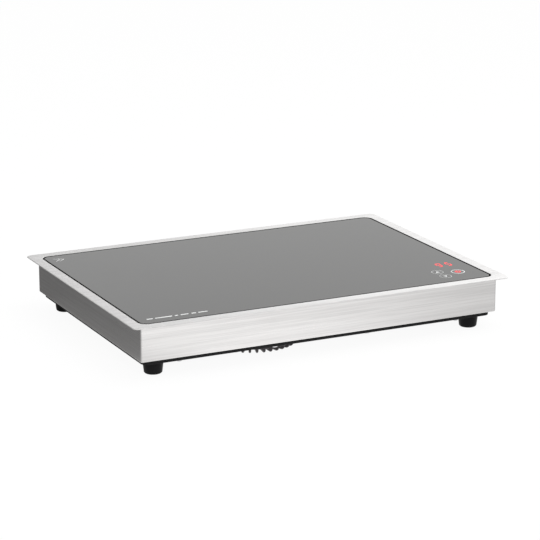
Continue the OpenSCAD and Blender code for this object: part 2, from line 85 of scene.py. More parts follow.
# %% One helper for every node tree
def add(tree, kind, inputs=None, **settings):
    """Adds a node. inputs maps a socket's name or number to a value or to another socket."""
    node = tree.nodes.new(kind)
    for name, value in settings.items():
        setattr(node, name, value)
    for key, value in (inputs or {}).items():
        if isinstance(value, bpy.types.NodeSocket):
            tree.links.new(value, node.inputs[key])
        else:
            node.inputs[key].default_value = value
    return node


def math_node(tree, operation, first, second=0.0, clamp=False):
    """One sum on two values or sockets."""
    return add(tree, "ShaderNodeMath", {0: first, 1: second},
               operation=operation, use_clamp=clamp).outputs[0]


def vector_math(tree, operation, first, second=(0.0, 0.0, 0.0)):
    """One sum on two vectors."""
    return add(tree, "ShaderNodeVectorMath", {0: first, 1: second}, operation=operation).outputs[0]


def noise(tree, place, scale, detail, **more):
    """Soft noise from 0 to 1."""
    keys = {"Vector": place, "Scale": scale, "Detail": detail, **more}
    return add(tree, "ShaderNodeTexNoise", keys).outputs["Fac"]


def ramp(tree, value, low, high, to_low=0.0, to_high=1.0):
    """value, eased from low..high to to_low..to_high."""
    keys = {"Value": value, "From Min": low, "From Max": high, "To Min": to_low, "To Max": to_high}
    return add(tree, "ShaderNodeMapRange", keys, interpolation_type="SMOOTHSTEP").outputs["Result"]


def blank_material(name):
    """A material with an empty tree, and the place of the shaded point on its object."""
    material = bpy.data.materials.new(name)
    material.use_nodes = True
    material.node_tree.nodes.clear()
    place = add(material.node_tree, "ShaderNodeTexCoord").outputs["Object"]
    return material, material.node_tree, place


# %% The studio round the hob
# The tone is set by compass: 0 is behind the hob, 90 to its right, 180 in front of it. The upper
# part of the studio has tones of its own, and straight above hangs one even screen.
STUDIO_PEAK = 1.7
HIGH_BAND, TOP_BAND, TOP_TONE = (0.29, 0.36), (0.60, 0.92), 0.9
STUDIO_TONES = ((-180, 1.06), (-150, 1.08), (-122, 0.60), (-108, 0.20), (-45, 0.15), (-10, 0.17),
                (9, 0.62), (20, 1.08), (34, 1.10), (50, 1.65), (66, 1.20), (86, 0.46),
                (112, 0.58), (134, 0.76), (160, 1.00), (180, 1.06))
HIGH_TONES = ((-180, 1.06), (-150, 1.06), (-122, 0.85), (-90, 0.75), (-45, 0.75), (-10, 0.50),
              (14, 0.30), (22, 0.34), (26, 0.80), (31, 1.20), (50, 1.65), (66, 1.20), (86, 0.60),
              (112, 0.70), (134, 0.85), (160, 1.00), (180, 1.06))


def tone_by_compass(tree, compass, tones):
    """A colour ramp that holds the tones, read by a compass value from 0 to 1."""
    colours = add(tree, "ShaderNodeValToRGB", {"Fac": compass})
    stops = colours.color_ramp.elements
    while len(stops) > 1:
        stops.remove(stops[-1])
    for k, (degrees, tone) in enumerate(tones):
        stop = stops[0] if k == 0 else stops.new(degrees / 360 + 0.5)
        stop.position = degrees / 360 + 0.5
        stop.color = (*[tone / STUDIO_PEAK] * 3, 1.0)
    return math_node(tree, "MULTIPLY", colours.outputs["Color"], STUDIO_PEAK)


def studio_tone(tree, heading, overhead=None):
    """Brightness of the studio along a heading. overhead is its tone straight above."""
    parts = add(tree, "ShaderNodeSeparateXYZ", {0: heading})
    angle = math_node(tree, "ARCTAN2", parts.outputs["X"], parts.outputs["Y"])
    compass = math_node(tree, "MULTIPLY_ADD", angle, 1 / (2 * math.pi))
    compass.node.inputs[2].default_value = 0.5
    level = tone_by_compass(tree, compass, STUDIO_TONES)
    if overhead is None:
        return level
    high = tone_by_compass(tree, compass, HIGH_TONES)
    for upper, reach in ((high, HIGH_BAND), (overhead, TOP_BAND)):
        share = ramp(tree, parts.outputs["Z"], *reach)
        level = add(tree, "ShaderNodeMix", {"Factor": share, "A": level, "B": upper},
                    data_type="FLOAT").outputs[0]
    return level


world = bpy.data.worlds.new("studio")
world.use_nodes = True
scene.world = world
world.node_tree.nodes.clear()
heading = add(world.node_tree, "ShaderNodeTexCoord").outputs["Generated"]
glow = add(world.node_tree, "ShaderNodeBackground",
           {"Color": (1.0, 0.995, 0.99, 1.0),
            "Strength": studio_tone(world.node_tree, heading, TOP_TONE)})
add(world.node_tree, "ShaderNodeOutputWorld", {"Surface": glow.outputs[0]})
print("studio tones at", len(STUDIO_TONES), "headings")

# %% The floor
# The eye sees it white. A mirror sees the studio in it, and a faint glow close to the walls.
FLOOR_SIZE, WHITE_SHARE = 24.0, 0.94
GLOW_REACH, GLOW = 0.03, 0.22
half = FLOOR_SIZE / 2
floor_mesh = bpy.data.meshes.new("floor")
floor_mesh.from_pydata([(-half, -half, 0), (half, -half, 0), (half, half, 0), (-half, half, 0)],
                       [], [(0, 1, 2, 3)])
floor = bpy.data.objects.new("floor", floor_mesh)
scene.collection.objects.link(floor)

pale, tree, place = blank_material("pale_floor")
seen = add(tree, "ShaderNodeEmission", {"Strength": 1.0}).outputs[0]
paint = add(tree, "ShaderNodeBsdfDiffuse", {"Color": (0.93, 0.93, 0.93, 1.0)}).outputs[0]
to_eye = add(tree, "ShaderNodeMixShader", {0: WHITE_SHARE, 1: paint, 2: seen}).outputs[0]
walls = tuple(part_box("housing_shell")[1][:2]) + (0.0,)
past = vector_math(tree, "SUBTRACT", vector_math(tree, "ABSOLUTE", place), walls)
past = add(tree, "ShaderNodeSeparateXYZ", {0: past})
beyond = math_node(tree, "MAXIMUM", past.outputs["X"], past.outputs["Y"])
tone = math_node(tree, "ADD", studio_tone(tree, vector_math(tree, "NORMALIZE", place)),
                 ramp(tree, beyond, 0.0, GLOW_REACH, GLOW, 0.0))
mirrored = add(tree, "ShaderNodeEmission", {"Color": (1.0, 0.99, 0.98, 1.0), "Strength": tone})
eye = add(tree, "ShaderNodeLightPath").outputs["Is Camera Ray"]
both = add(tree, "ShaderNodeMixShader", {0: eye, 1: mirrored.outputs[0], 2: to_eye}).outputs[0]
add(tree, "ShaderNodeOutputMaterial", {"Surface": both})
floor_mesh.materials.append(pale)
print("floor", FLOOR_SIZE, "m wide")


# %% Soft lamps
def soft_lamp(name, place, aim, size, power):
    """A square area lamp that neither the camera nor a mirror image shows."""
    data = bpy.data.lights.new(name, "AREA")
    data.size, data.energy = size, power
    lamp = bpy.data.objects.new(name, data)
    lamp.location = place
    lamp.rotation_euler = (Vector(aim) - Vector(place)).to_track_quat("-Z", "Y").to_euler()
    lamp.visible_camera = False
    lamp.visible_glossy = False
    scene.collection.objects.link(lamp)
    return lamp


soft_lamp("overhead", (0.5, -0.3, 2.2), (0.0, 0.0, 0.0), 1.6, 22.0)
soft_lamp("front_fill", (-0.6, -2.2, 0.9), (0.0, 0.0, 0.03), 1.0, 9.0)

# %% [markdown]
# ## Finishes
# Every finish is worked out from where a point lies on the hob, so there is nothing to unwrap.
# Four effects come up again and again, and each is a node group: the grain that a brushing belt
# leaves, the skin of a moulding tool, faint smears, and the flecks in pressed or sintered stuff.
# The groups only put out numbers. The shader itself stays in each material.


# %% A maker for node groups
FLOAT, VECTOR, GEOMETRY = "NodeSocketFloat", "NodeSocketVector", "NodeSocketGeometry"


def new_group(name, given, results, kind="ShaderNodeTree"):
    """An empty node group. given maps each input to its type and value, and results lists the
    outputs. Returns the tree, the sockets to read from and the sockets to fill."""
    tree = bpy.data.node_groups.new(name, kind)
    for label, (socket_type, value) in given.items():
        socket = tree.interface.new_socket(label, in_out="INPUT", socket_type=socket_type)
        if value is not None:
            socket.default_value = value
    for label in results:
        socket_type = GEOMETRY if kind == "GeometryNodeTree" else FLOAT
        tree.interface.new_socket(label, in_out="OUTPUT", socket_type=socket_type)
    print("group", name)
    return tree, tree.nodes.new("NodeGroupInput").outputs, tree.nodes.new("NodeGroupOutput").inputs


# %% Group: brushed grain
# Noise stretched a hundredfold along one axis turns into streaks. Two widths are mixed, because a
# belt leaves a few deep lines among many fine ones.
grain, given, result = new_group(
    "brushed_grain", {"Place": (VECTOR, None), "Stretch": (VECTOR, (12.0, 12.0, 900.0)),
                      "Detail": (FLOAT, 5.0)}, ["Streak", "Band"])
fine = vector_math(grain, "MULTIPLY", given["Place"], given["Stretch"])
wide = vector_math(grain, "MULTIPLY", fine, (0.35, 0.35, 0.13))
fine = noise(grain, fine, 1.0, given["Detail"], Roughness=0.72)
grain.links.new(ramp(grain, fine, 0.25, 0.75), result["Streak"])
grain.links.new(ramp(grain, noise(grain, wide, 1.0, 2.0), 0.28, 0.72), result["Band"])

# %% Group: moulded grain
# A spark-eroded tool leaves a pebbly skin. Rounded cells with a little noise give that height.
mould, given, result = new_group(
    "moulded_grain", {"Place": (VECTOR, None), "Pebble": (FLOAT, 1400.0)}, ["Height", "Cloud"])
cells = add(mould, "ShaderNodeTexVoronoi", {"Vector": given["Place"], "Scale": given["Pebble"]},
            feature="SMOOTH_F1")
mould.links.new(cells.outputs["Distance"], result["Height"])
mould.links.new(ramp(mould, noise(mould, given["Place"], 38.0, 4.0), 0.3, 0.7), result["Cloud"])

# %% Group: smears
# Large soft noise, bent by a second noise, looks like a wiped surface.
smear, given, result = new_group(
    "smears", {"Place": (VECTOR, None), "Size": (FLOAT, 9.0)}, ["Mask"])
bend = noise(smear, given["Place"], given["Size"], 3.0, Distortion=1.6)
speck = noise(smear, given["Place"], 240.0, 2.0)
mixed = math_node(smear, "MULTIPLY", ramp(smear, bend, 0.42, 0.72),
                  ramp(smear, speck, 0.30, 0.62, 0.55, 1.0))
smear.links.new(mixed, result["Mask"])

# %% Group: flecks
# Flat cells with a random shade each: mica flakes, copper strands, pressed powder.
fleck, given, result = new_group(
    "flecks", {"Place": (VECTOR, None), "Size": (FLOAT, 300.0)}, ["Shade", "Edge"])
cells = {"Vector": given["Place"], "Scale": given["Size"]}
flake = add(fleck, "ShaderNodeTexVoronoi", cells)
rim = add(fleck, "ShaderNodeTexVoronoi", cells, feature="DISTANCE_TO_EDGE")
shade = add(fleck, "ShaderNodeSeparateColor", {0: flake.outputs["Color"]}).outputs[0]
fleck.links.new(shade, result["Shade"])
fleck.links.new(ramp(fleck, rim.outputs["Distance"], 0.0, 0.08), result["Edge"])


# %% A start and an end for every material
def new_finish(name, metallic=0.0, **settings):
    """A Principled material: its tree, the place of the shaded point, its shader and itself."""
    material, tree, place = blank_material(name)
    shader = add(tree, "ShaderNodeBsdfPrincipled", {"Metallic": metallic, **settings})
    add(tree, "ShaderNodeOutputMaterial", {"Surface": shader.outputs[0]})
    return tree, place, shader, material


def use(tree, group, place, **inputs):
    """Places a node group and returns its outputs."""
    return add(tree, "ShaderNodeGroup", {"Place": place, **inputs}, node_tree=group).outputs


def shade_between(tree, mask, dark, light):
    """A colour that runs from dark to light as the mask runs from 0 to 1."""
    return add(tree, "ShaderNodeMix", {"Factor": mask, 6: (*dark, 1.0), 7: (*light, 1.0)},
               data_type="RGBA").outputs[2]


def bump(tree, shader, height, relief):
    """Turns a height into the shader's normal. relief is in millimetres."""
    node = add(tree, "ShaderNodeBump", {"Height": height, "Distance": relief * MM, "Strength": 1.0})
    tree.links.new(node.outputs[0], shader.inputs["Normal"])


def dress(finish, mask, dark, light, worn, smooth, rough, height=None, relief=0.0, wear=None):
    """Colour by mask, roughness by worn with wear on top, and relief by height."""
    tree, _, shader, material = finish
    roughness = ramp(tree, worn, 0.0, 1.0, smooth, rough)
    if wear is not None:
        roughness = math_node(tree, "ADD", roughness, wear)
    tree.links.new(shade_between(tree, mask, dark, light), shader.inputs["Base Color"])
    tree.links.new(roughness, shader.inputs["Roughness"])
    if height is not None:
        bump(tree, shader, height, relief)
    return material


# %% [markdown]
# ### Brushed steel
# Stainless sheet is brushed in one direction before it is cut. On the top frame the lines run
# along the hob, and on the folded walls they run level round it. A line is a shallow groove, so
# it shows in three ways at once: a little in the colour, more in the roughness, and most in the
# slope of the surface. One recipe makes both sheets with different stretches.

# %% Brushed steel
GROOVE = 0.03


def brushed_steel(name, stretch, dark, light, smooth, rough, least, sheared=0.0):
    """least: the tone of the deepest line, where 0 is the dark colour and 1 the light one.
    sheared: how much rougher the upright faces are, where the sheet was cut."""
    tree, place, *_ = finish = new_finish(name, metallic=1.0)
    lines = use(tree, grain, place, Stretch=stretch)
    wear = math_node(tree, "MULTIPLY", use(tree, smear, place, Size=11.0)[0], 0.05)
    tone = math_node(tree, "ADD", math_node(tree, "MULTIPLY", lines["Streak"], 0.72),
                     math_node(tree, "MULTIPLY", lines["Band"], 0.28))
    tone = ramp(tree, tone, 0.0, 1.0, least, 1.0)
    if sheared:
        normal = add(tree, "ShaderNodeTexCoord").outputs["Normal"]
        facing = add(tree, "ShaderNodeSeparateXYZ", {0: normal}).outputs["Z"]
        upright = ramp(tree, math_node(tree, "ABSOLUTE", facing), 0.20, 0.85, sheared, 0.0)
        wear = math_node(tree, "ADD", wear, upright)
    return dress(finish, tone, dark, light, tone, rough, smooth, lines["Streak"], GROOVE, wear)


finishes = {"steel_brushed": brushed_steel(
    "steel_brushed_walls", (9.0, 9.0, 1150.0), (0.68, 0.675, 0.675), (0.84, 0.835, 0.835),
    0.27, 0.38, 0.0)}
steel_top = brushed_steel("steel_brushed_top", (12.0, 1000.0, 300.0), (0.55, 0.55, 0.55),
                          (0.92, 0.915, 0.915), 0.30, 0.42, 0.50, 0.40)
print("steel:", steel_top.name, finishes["steel_brushed"].name)

# %% [markdown]
# ### Black glass-ceramic
# The plate is polished and opaque. Its grey tone at a low angle is only the studio mirrored in
# it, so the base stays nearly black and the shader's own reflection does the work. Faint smears
# change the roughness, and a slight waviness of a few microns keeps the mirror image alive.

# %% Black glass
tree, place, *_ = finish = new_finish("glass_black", IOR=1.52)
dots = math_node(tree, "MULTIPLY", use(tree, fleck, place, Size=2600.0)["Shade"], 0.5)
finishes["glass_black"] = dress(
    finish, dots, (0.0040, 0.0052, 0.0048), (0.008, 0.0100, 0.0092),
    use(tree, smear, place, Size=6.5)[0], 0.035, 0.085, noise(tree, place, 16.0, 1.0), 0.006)
print("glass:", finishes["glass_black"].name)

# %% [markdown]
# ### Moulded plastic and rubber
# Black mouldings are never quite black. A pebbly skin breaks up the highlight, a cloudy mask
# shifts the tone a little, and dust sits in the smears. Rubber is the same recipe, smoother and
# softer. The fan guard is a shade lighter with a hint of violet. Fired print is the recipe again.

# %% Mouldings
# Each row: dark, light, smoothest, roughest, pebbles to the metre, relief, specular level.
MOULDINGS = {
    "plastic_black": ((0.007, 0.007, 0.0075), (0.010, 0.010, 0.0105), 0.42, 0.55, 1500.0, 0.05, 0.12),
    "plastic_guard": ((0.014, 0.011, 0.013), (0.030, 0.024, 0.029), 0.36, 0.48, 1300.0, 0.05, 0.30),
    "rubber_black": ((0.004, 0.004, 0.0045), (0.007, 0.007, 0.0075), 0.30, 0.42, 1900.0, 0.03, 0.10),
    "silicone_black": ((0.003, 0.003, 0.003), (0.006, 0.006, 0.006), 0.70, 0.85, 900.0, 0.02, 0.01),
    "plastic_white": ((0.72, 0.71, 0.66), (0.83, 0.82, 0.78), 0.38, 0.50, 1200.0, 0.03, 0.5),
    "plastic_heatproof": ((0.58, 0.56, 0.49), (0.72, 0.70, 0.63), 0.50, 0.66, 700.0, 0.06, 0.5),
    "component_black": ((0.014, 0.014, 0.015), (0.030, 0.030, 0.032), 0.40, 0.52, 2600.0, 0.03, 0.5),
    "wire_insulation": ((0.075, 0.048, 0.034), (0.13, 0.092, 0.066), 0.32, 0.44, 1700.0, 0.02, 0.5),
    "ribbon_grey": ((0.50, 0.52, 0.54), (0.62, 0.64, 0.66), 0.34, 0.46, 1500.0, 0.03, 0.5),
    "print_white": ((0.62, 0.63, 0.63), (0.80, 0.81, 0.81), 0.42, 0.55, 2400.0, 0.01, 0.5),
}
for name, (dark, light, smooth, rough, pebble, relief, specular) in MOULDINGS.items():
    tree, place, *_ = finish = new_finish(name, **{"Specular IOR Level": specular})
    skin_of = use(tree, mould, place, Pebble=pebble)
    wear = math_node(tree, "MULTIPLY", use(tree, smear, place, Size=18.0)[0], 0.10)
    finishes[name] = dress(finish, skin_of["Cloud"], dark, light, skin_of["Cloud"], smooth, rough,
                           skin_of["Height"], relief, wear)
print("mouldings:", len(MOULDINGS))

# %% [markdown]
# ### Small metal
# Screws, springs, pins and the heat sink share one recipe: a metal whose tone drifts, with fine
# drawn or turned lines. Zinc plating is duller and blotchy, nickel is bright, brass is warm.

# %% Small metals
# Each row: dark, light, smoothest, roughest, stretch of the lines, relief.
METALS = {
    "steel_zinc": ((0.40, 0.40, 0.42), (0.62, 0.62, 0.64), 0.30, 0.48, (900.0, 900.0, 900.0), 0.02),
    "spring_steel": ((0.44, 0.43, 0.41), (0.60, 0.59, 0.57), 0.22, 0.34, (600.0, 600.0, 2400.0), 0.01),
    "aluminium_raw": ((0.58, 0.59, 0.60), (0.76, 0.77, 0.78), 0.30, 0.44, (1400.0, 12.0, 1400.0), 0.02),
    "brass_plain": ((0.56, 0.42, 0.18), (0.76, 0.60, 0.30), 0.24, 0.38, (500.0, 500.0, 2600.0), 0.01),
    "nickel_plated": ((0.62, 0.60, 0.56), (0.78, 0.76, 0.72), 0.14, 0.24, (700.0, 700.0, 700.0), 0.01),
}
for name, (dark, light, smooth, rough, stretch, relief) in METALS.items():
    tree, place, *_ = finish = new_finish(name, metallic=1.0)
    streak = use(tree, grain, place, Stretch=stretch, Detail=3.0)["Streak"]
    blotch = use(tree, smear, place, Size=160.0)[0]
    tone = math_node(tree, "MULTIPLY", math_node(tree, "ADD", streak, blotch), 0.5)
    finishes[name] = dress(finish, blotch, light, dark, tone, smooth, rough, streak, relief)
print("metals:", len(METALS))

# %% [markdown]
# ### Pressed, wound and wrapped stuff
# Mica is made of flakes, ferrite of sintered powder, and the coil is a bundle of hair-thin
# enamelled strands. All are cells with a shade of their own. The copper's cells are drawn out.

# %% Flecked finishes
# Each row: dark, light, middle roughness, cells to the metre along each axis, relief, metallic.
FLECKED = {
    "mica": ((0.50, 0.42, 0.27), (0.70, 0.62, 0.46), 0.36, (240.0,) * 3, 0.03, 0.0),
    "ferrite": ((0.045, 0.044, 0.046), (0.085, 0.083, 0.086), 0.60, (1100.0,) * 3, 0.04, 0.0),
    "copper_wire": ((0.46, 0.19, 0.07), (0.74, 0.36, 0.16), 0.34, (1500.0, 1500.0, 900.0), 0.06, 1.0),
    "component_yellow": ((0.54, 0.40, 0.06), (0.68, 0.52, 0.11), 0.30, (420.0,) * 3, 0.02, 0.0),
    "component_blue": ((0.025, 0.075, 0.20), (0.050, 0.125, 0.30), 0.28, (520.0,) * 3, 0.02, 0.0),
}
for name, (dark, light, rough, cells, relief, metallic) in FLECKED.items():
    tree, place, *_ = finish = new_finish(name, metallic)
    flakes = use(tree, fleck, vector_math(tree, "MULTIPLY", place, cells), Size=1.0)
    finishes[name] = dress(finish, flakes["Shade"], dark, light, flakes["Shade"], rough - 0.06,
                           rough + 0.08, flakes["Edge"], relief)
print("flecked:", len(FLECKED))

# %% [markdown]
# ### Board, fuse and lamps
# The boards are green lacquer over copper tracks, and the tracks stand a little proud: bricks
# make the lanes. The fuse is clear glass, and the figures of the display glow through the plate.

# %% Green board
tree, place, shader, finishes["board_green"] = new_finish("board_green", **{"Coat Weight": 0.4})
lanes = add(tree, "ShaderNodeTexBrick",
            {"Vector": place, "Scale": 60.0, "Mortar Size": 0.012, "Mortar Smooth": 0.3,
             "Brick Width": 0.9, "Row Height": 0.14, "Color1": (0.018, 0.115, 0.040, 1.0),
             "Color2": (0.026, 0.150, 0.054, 1.0), "Mortar": (0.050, 0.245, 0.090, 1.0)})
tree.links.new(lanes.outputs["Color"], shader.inputs["Base Color"])
tree.links.new(ramp(tree, lanes.outputs["Fac"], 0.0, 1.0, 0.30, 0.42), shader.inputs["Roughness"])
bump(tree, shader, lanes.outputs["Fac"], 0.04)
print("board:", finishes["board_green"].name)

# %% Fuse and lamps
tree, place, *_ = finish = new_finish(
    "fuse_glass", IOR=1.5, **{"Transmission Weight": 1.0})
drawn = use(tree, grain, place, Stretch=(300.0, 10.0, 300.0))["Band"]
finishes["fuse_glass"] = dress(
    finish, drawn, (0.86, 0.90, 0.90), (0.97, 0.99, 0.99), drawn, 0.03, 0.10)

# Lit from within, and a little uneven, as real segments are.
for name, dark, light, strength, rough in (
        ("lamp_red", (0.50, 0.02, 0.02), (0.75, 0.05, 0.04), 0.25, 0.20),
        ("display_red", (0.80, 0.070, 0.075), (0.94, 0.105, 0.115), 0.85, 0.40)):
    tree, place, shader, _ = finish = new_finish(
        name, **{"Emission Strength": strength, "Specular IOR Level": 0.0})
    uneven = use(tree, smear, place, Size=90.0)[0]
    tree.links.new(shade_between(tree, uneven, light, dark), shader.inputs["Emission Color"])
    finishes[name] = dress(finish, uneven, dark, light, uneven, rough, rough + 0.1)
print("finishes:", len(finishes))

# %% [markdown]
# ## Helpers for building pieces
# Sheet parts, mouldings and turned parts all come down to one act: a row of closed loops joined
# by a skin. The loops are written in millimetres, and the piece is scaled to metres at the end.


# %% Loops
def polar(radius, angle, x=0.0, y=0.0):
    """A point on a circle about (x, y)."""
    return x + radius * math.cos(angle), y + radius * math.sin(angle)


def turns(count):
    return [2 * math.pi * k / count for k in range(count)]


def corner_loop(length, width, radius, z, steps=8, at=(0.0, 0.0)):
    """A rounded rectangle about a point, counter-clockwise from above."""
    loop = []
    for cx, cy, start in ((1, 1, 0), (-1, 1, 90), (-1, -1, 180), (1, -1, 270)):
        for k in range(steps + 1):
            middle = at[0] + cx * (length / 2 - radius), at[1] + cy * (width / 2 - radius)
            loop.append((*polar(radius, math.radians(start + 90 * k / steps), *middle), z))
    return loop


def long_loop(reach, radius, first):
    """A loop with two round ends as (u, v). first is 0 to lay it along v and -90 along u."""
    return [polar(radius, math.radians(start + 22.5 * k), *polar(reach, math.radians(start + 90)))
            for start in (first, first + 180) for k in range(9)]


def arc(across, up, radius, start, end, steps=4):
    """Points (across, up) on an arc, angles in degrees."""
    return [polar(radius, math.radians(start + (end - start) * k / steps), across, up)
            for k in range(steps + 1)]


def skin(bm, loops, closed=False):
    """Joins each loop to the next. closed joins the last to the first, else both ends are filled."""
    rows = [[bm.verts.new(p) for p in loop] for loop in loops]
    pairs = list(zip(rows, rows[1:])) + ([(rows[-1], rows[0])] if closed else [])
    for low, high in pairs:
        for k in range(len(low)):
            n = (k + 1) % len(low)
            bm.faces.new((low[k], low[n], high[n], high[k]))
    if not closed:
        bm.faces.new(rows[0][::-1])
        bm.faces.new(rows[-1])


# %% From CAD: spans and places
def span(node):
    """Lowest and highest corner of a CAD node in millimetres."""
    low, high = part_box(node)
    return low / MM, high / MM


def middle_of(low, high, first=0, second=1):
    """The middle of a box on two of its axes."""
    return (low[first] + high[first]) / 2, (low[second] + high[second]) / 2


def solids(node):
    """The lowest and highest corner of each separate solid of a CAD node, in millimetres."""
    mesh = frame["nodes"][node].data
    spot, home = {}, []
    for v in mesh.vertices:
        home.append(spot.setdefault(tuple(round(c, 6) for c in v.co), len(spot)))
    lead = list(range(len(spot)))

    def top(k):
        while lead[k] != k:
            lead[k] = lead[lead[k]]
            k = lead[k]
        return k

    for face in mesh.polygons:
        first = top(home[face.vertices[0]])
        for v in face.vertices[1:]:
            lead[top(home[v])] = first
    boxes = {}
    for point, k in spot.items():
        box = boxes.setdefault(top(k), [list(point), list(point)])
        for axis in range(3):
            box[0][axis] = min(box[0][axis], point[axis])
            box[1][axis] = max(box[1][axis], point[axis])
    return [(Vector(a) / MM, Vector(b) / MM) for a, b in boxes.values()]


def middles(node):
    """The middle (x, y) of each separate solid of a CAD node, in millimetres, in a fixed order."""
    return sorted(tuple(round(c, 3) for c in middle_of(*box)) for box in solids(node))


print("base screws at", middles("base_screws")[:3], "...")


# %% Finishing a piece
def to_mesh(bm):
    """A bmesh in millimetres as a mesh in metres, smooth where it is round."""
    bmesh.ops.remove_doubles(bm, verts=bm.verts, dist=0.0005)
    bmesh.ops.recalc_face_normals(bm, faces=bm.faces)
    bmesh.ops.scale(bm, vec=(MM, MM, MM), verts=bm.verts)
    for face in bm.faces:
        face.smooth = True
    mesh = bpy.data.meshes.new("part")
    bm.to_mesh(mesh)
    bm.free()
    mesh.set_sharp_from_angle(angle=SHARP)
    return mesh


def solid(loops, closed=False):
    """A mesh from a row of loops."""
    bm = bmesh.new()
    skin(bm, loops, closed)
    return to_mesh(bm)


def swept(size, radius, section, closed=True, steps=10, at=(0.0, 0.0)):
    """A section of (inset, height) swept round a rectangle. radius(inset) sets the corners."""
    return solid([corner_loop(size.x - 2 * d, size.y - 2 * d, radius(d), z, steps, at)
                  for d, z in section], closed)


def turned(profile, count=32, at=(0.0, 0.0), closed=False, along="Z", outline=None):
    """A solid turned from a profile of (radius, height) about an axis along Z or Y. outline, if
    given, changes the radius with the angle."""
    loops = []
    for r, h in profile:
        ring = [polar(outline(a, r) if outline else r, a, *at) for a in turns(count)]
        loops.append([(u, v, h) if along == "Z" else (u, h, v) for u, v in ring])
    return solid(loops, closed)


def evaluated(thing):
    """The mesh of an object with its modifiers applied."""
    bpy.context.view_layer.update()
    graph = bpy.context.evaluated_depsgraph_get()
    return bpy.data.meshes.new_from_object(thing.evaluated_get(graph))


def helper_object(mesh):
    thing = bpy.data.objects.new("helper", mesh)
    scene.collection.objects.link(thing)
    return thing


def drop(*things):
    for thing in things:
        bpy.data.objects.remove(thing)


def cut(mesh, cutter):
    """The mesh with the cutter's holes in it."""
    body, tool = helper_object(mesh), helper_object(cutter)
    knife = body.modifiers.new("cut", "BOOLEAN")
    knife.object, knife.operation, knife.solver = tool, "DIFFERENCE", "EXACT"
    result = evaluated(body)
    drop(body, tool)
    return result


def paint_all(mesh, material):
    """Gives every face of a mesh one material."""
    mesh.materials.clear()
    mesh.materials.append(material)
    for face in mesh.polygons:
        face.material_index = 0


def make_piece(name, mesh, slot, *replaced, body="root", even=True, material=None):
    """Puts a mesh in the scene as one named piece, painted with its slot's finish and hung on its body,
    and hides the CAD nodes that it replaces.
    """
    paint_all(mesh, material or finishes[slot])
    mesh.set_sharp_from_angle(angle=SHARP)
    if even:
        holder = helper_object(mesh)
        normals = holder.modifiers.new("even", "WEIGHTED_NORMAL")
        normals.keep_sharp, normals.weight = True, 90
        mesh = evaluated(holder)
        drop(holder)
    mesh.name = name
    piece = bpy.data.objects.new(name, mesh)
    scene.collection.objects.link(piece)
    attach(piece, body)
    if replaced:
        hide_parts(*replaced)
    size = [max(v.co[k] for v in mesh.vertices) - min(v.co[k] for v in mesh.vertices)
            for k in range(3)]
    print(name, len(mesh.polygons), "faces,", " x ".join(f"{length / MM:.1f}" for length in size))


# %% [markdown]
# ## Trees for what repeats
# Geometry Nodes do the repeating. One tree puts a part at every vertex of a mesh, each turned by
# its own amount, which suits screws, posts and punched slots. One puts a part round an axis,
# which suits fan blades. One draws a bar along a path and repeats it round an axis, which makes
# the ribs of the fan guard. Each ends in Realize Instances and Set Material.

# %% What the trees share
OBJECT, INTEGER, MATERIAL = "NodeSocketObject", "NodeSocketInt", "NodeSocketMaterial"


def ring_of(tree, instance, given):
    """Instances spread evenly round a vertical axis through a centre."""
    points = add(tree, "GeometryNodePoints", {"Count": given["Count"], "Position": given["Centre"]})
    step = math_node(tree, "DIVIDE", 2 * math.pi, given["Count"])
    index = add(tree, "GeometryNodeInputIndex").outputs[0]
    angle = math_node(tree, "MULTIPLY", index, step)
    about = add(tree, "ShaderNodeCombineXYZ", {"Z": angle}).outputs[0]
    return add(tree, "GeometryNodeInstanceOnPoints",
               {"Points": points.outputs[0], "Instance": instance, "Rotation": about})


def end_tree(tree, instances, given, result):
    """Turns instances into real faces with the given material, and puts them out."""
    real = add(tree, "GeometryNodeRealizeInstances", {"Geometry": instances.outputs[0]})
    done = add(tree, "GeometryNodeSetMaterial",
               {"Geometry": real.outputs[0], "Material": given["Material"]})
    tree.links.new(done.outputs[0], result[0])


# %% Tree: a part at each place
at_places, given, result = new_group(
    "part_at_places", {"Places": (GEOMETRY, None), "Part": (OBJECT, None),
                       "Largest turn": (FLOAT, 0.0), "Seed": (INTEGER, 0),
                       "Material": (MATERIAL, None)}, ["Geometry"], "GeometryNodeTree")
part = add(at_places, "GeometryNodeObjectInfo", {"Object": given["Part"]}).outputs["Geometry"]
turn = add(at_places, "FunctionNodeRandomValue",
           {3: given["Largest turn"], "Seed": given["Seed"]}, data_type="FLOAT").outputs[1]
about_z = add(at_places, "ShaderNodeCombineXYZ", {"Z": turn}).outputs[0]
placed = add(at_places, "GeometryNodeInstanceOnPoints",
             {"Points": given["Places"], "Instance": part, "Rotation": about_z})
end_tree(at_places, placed, given, result)

# %% Tree: a part round an axis
round_axis, given, result = new_group(
    "part_round_axis", {"Geometry": (GEOMETRY, None), "Part": (OBJECT, None),
                        "Count": (INTEGER, 7), "Centre": (VECTOR, (0.0, 0.0, 0.0)),
                        "Material": (MATERIAL, None)}, ["Geometry"], "GeometryNodeTree")
part = add(round_axis, "GeometryNodeObjectInfo", {"Object": given["Part"]}).outputs["Geometry"]
end_tree(round_axis, ring_of(round_axis, part, given), given, result)

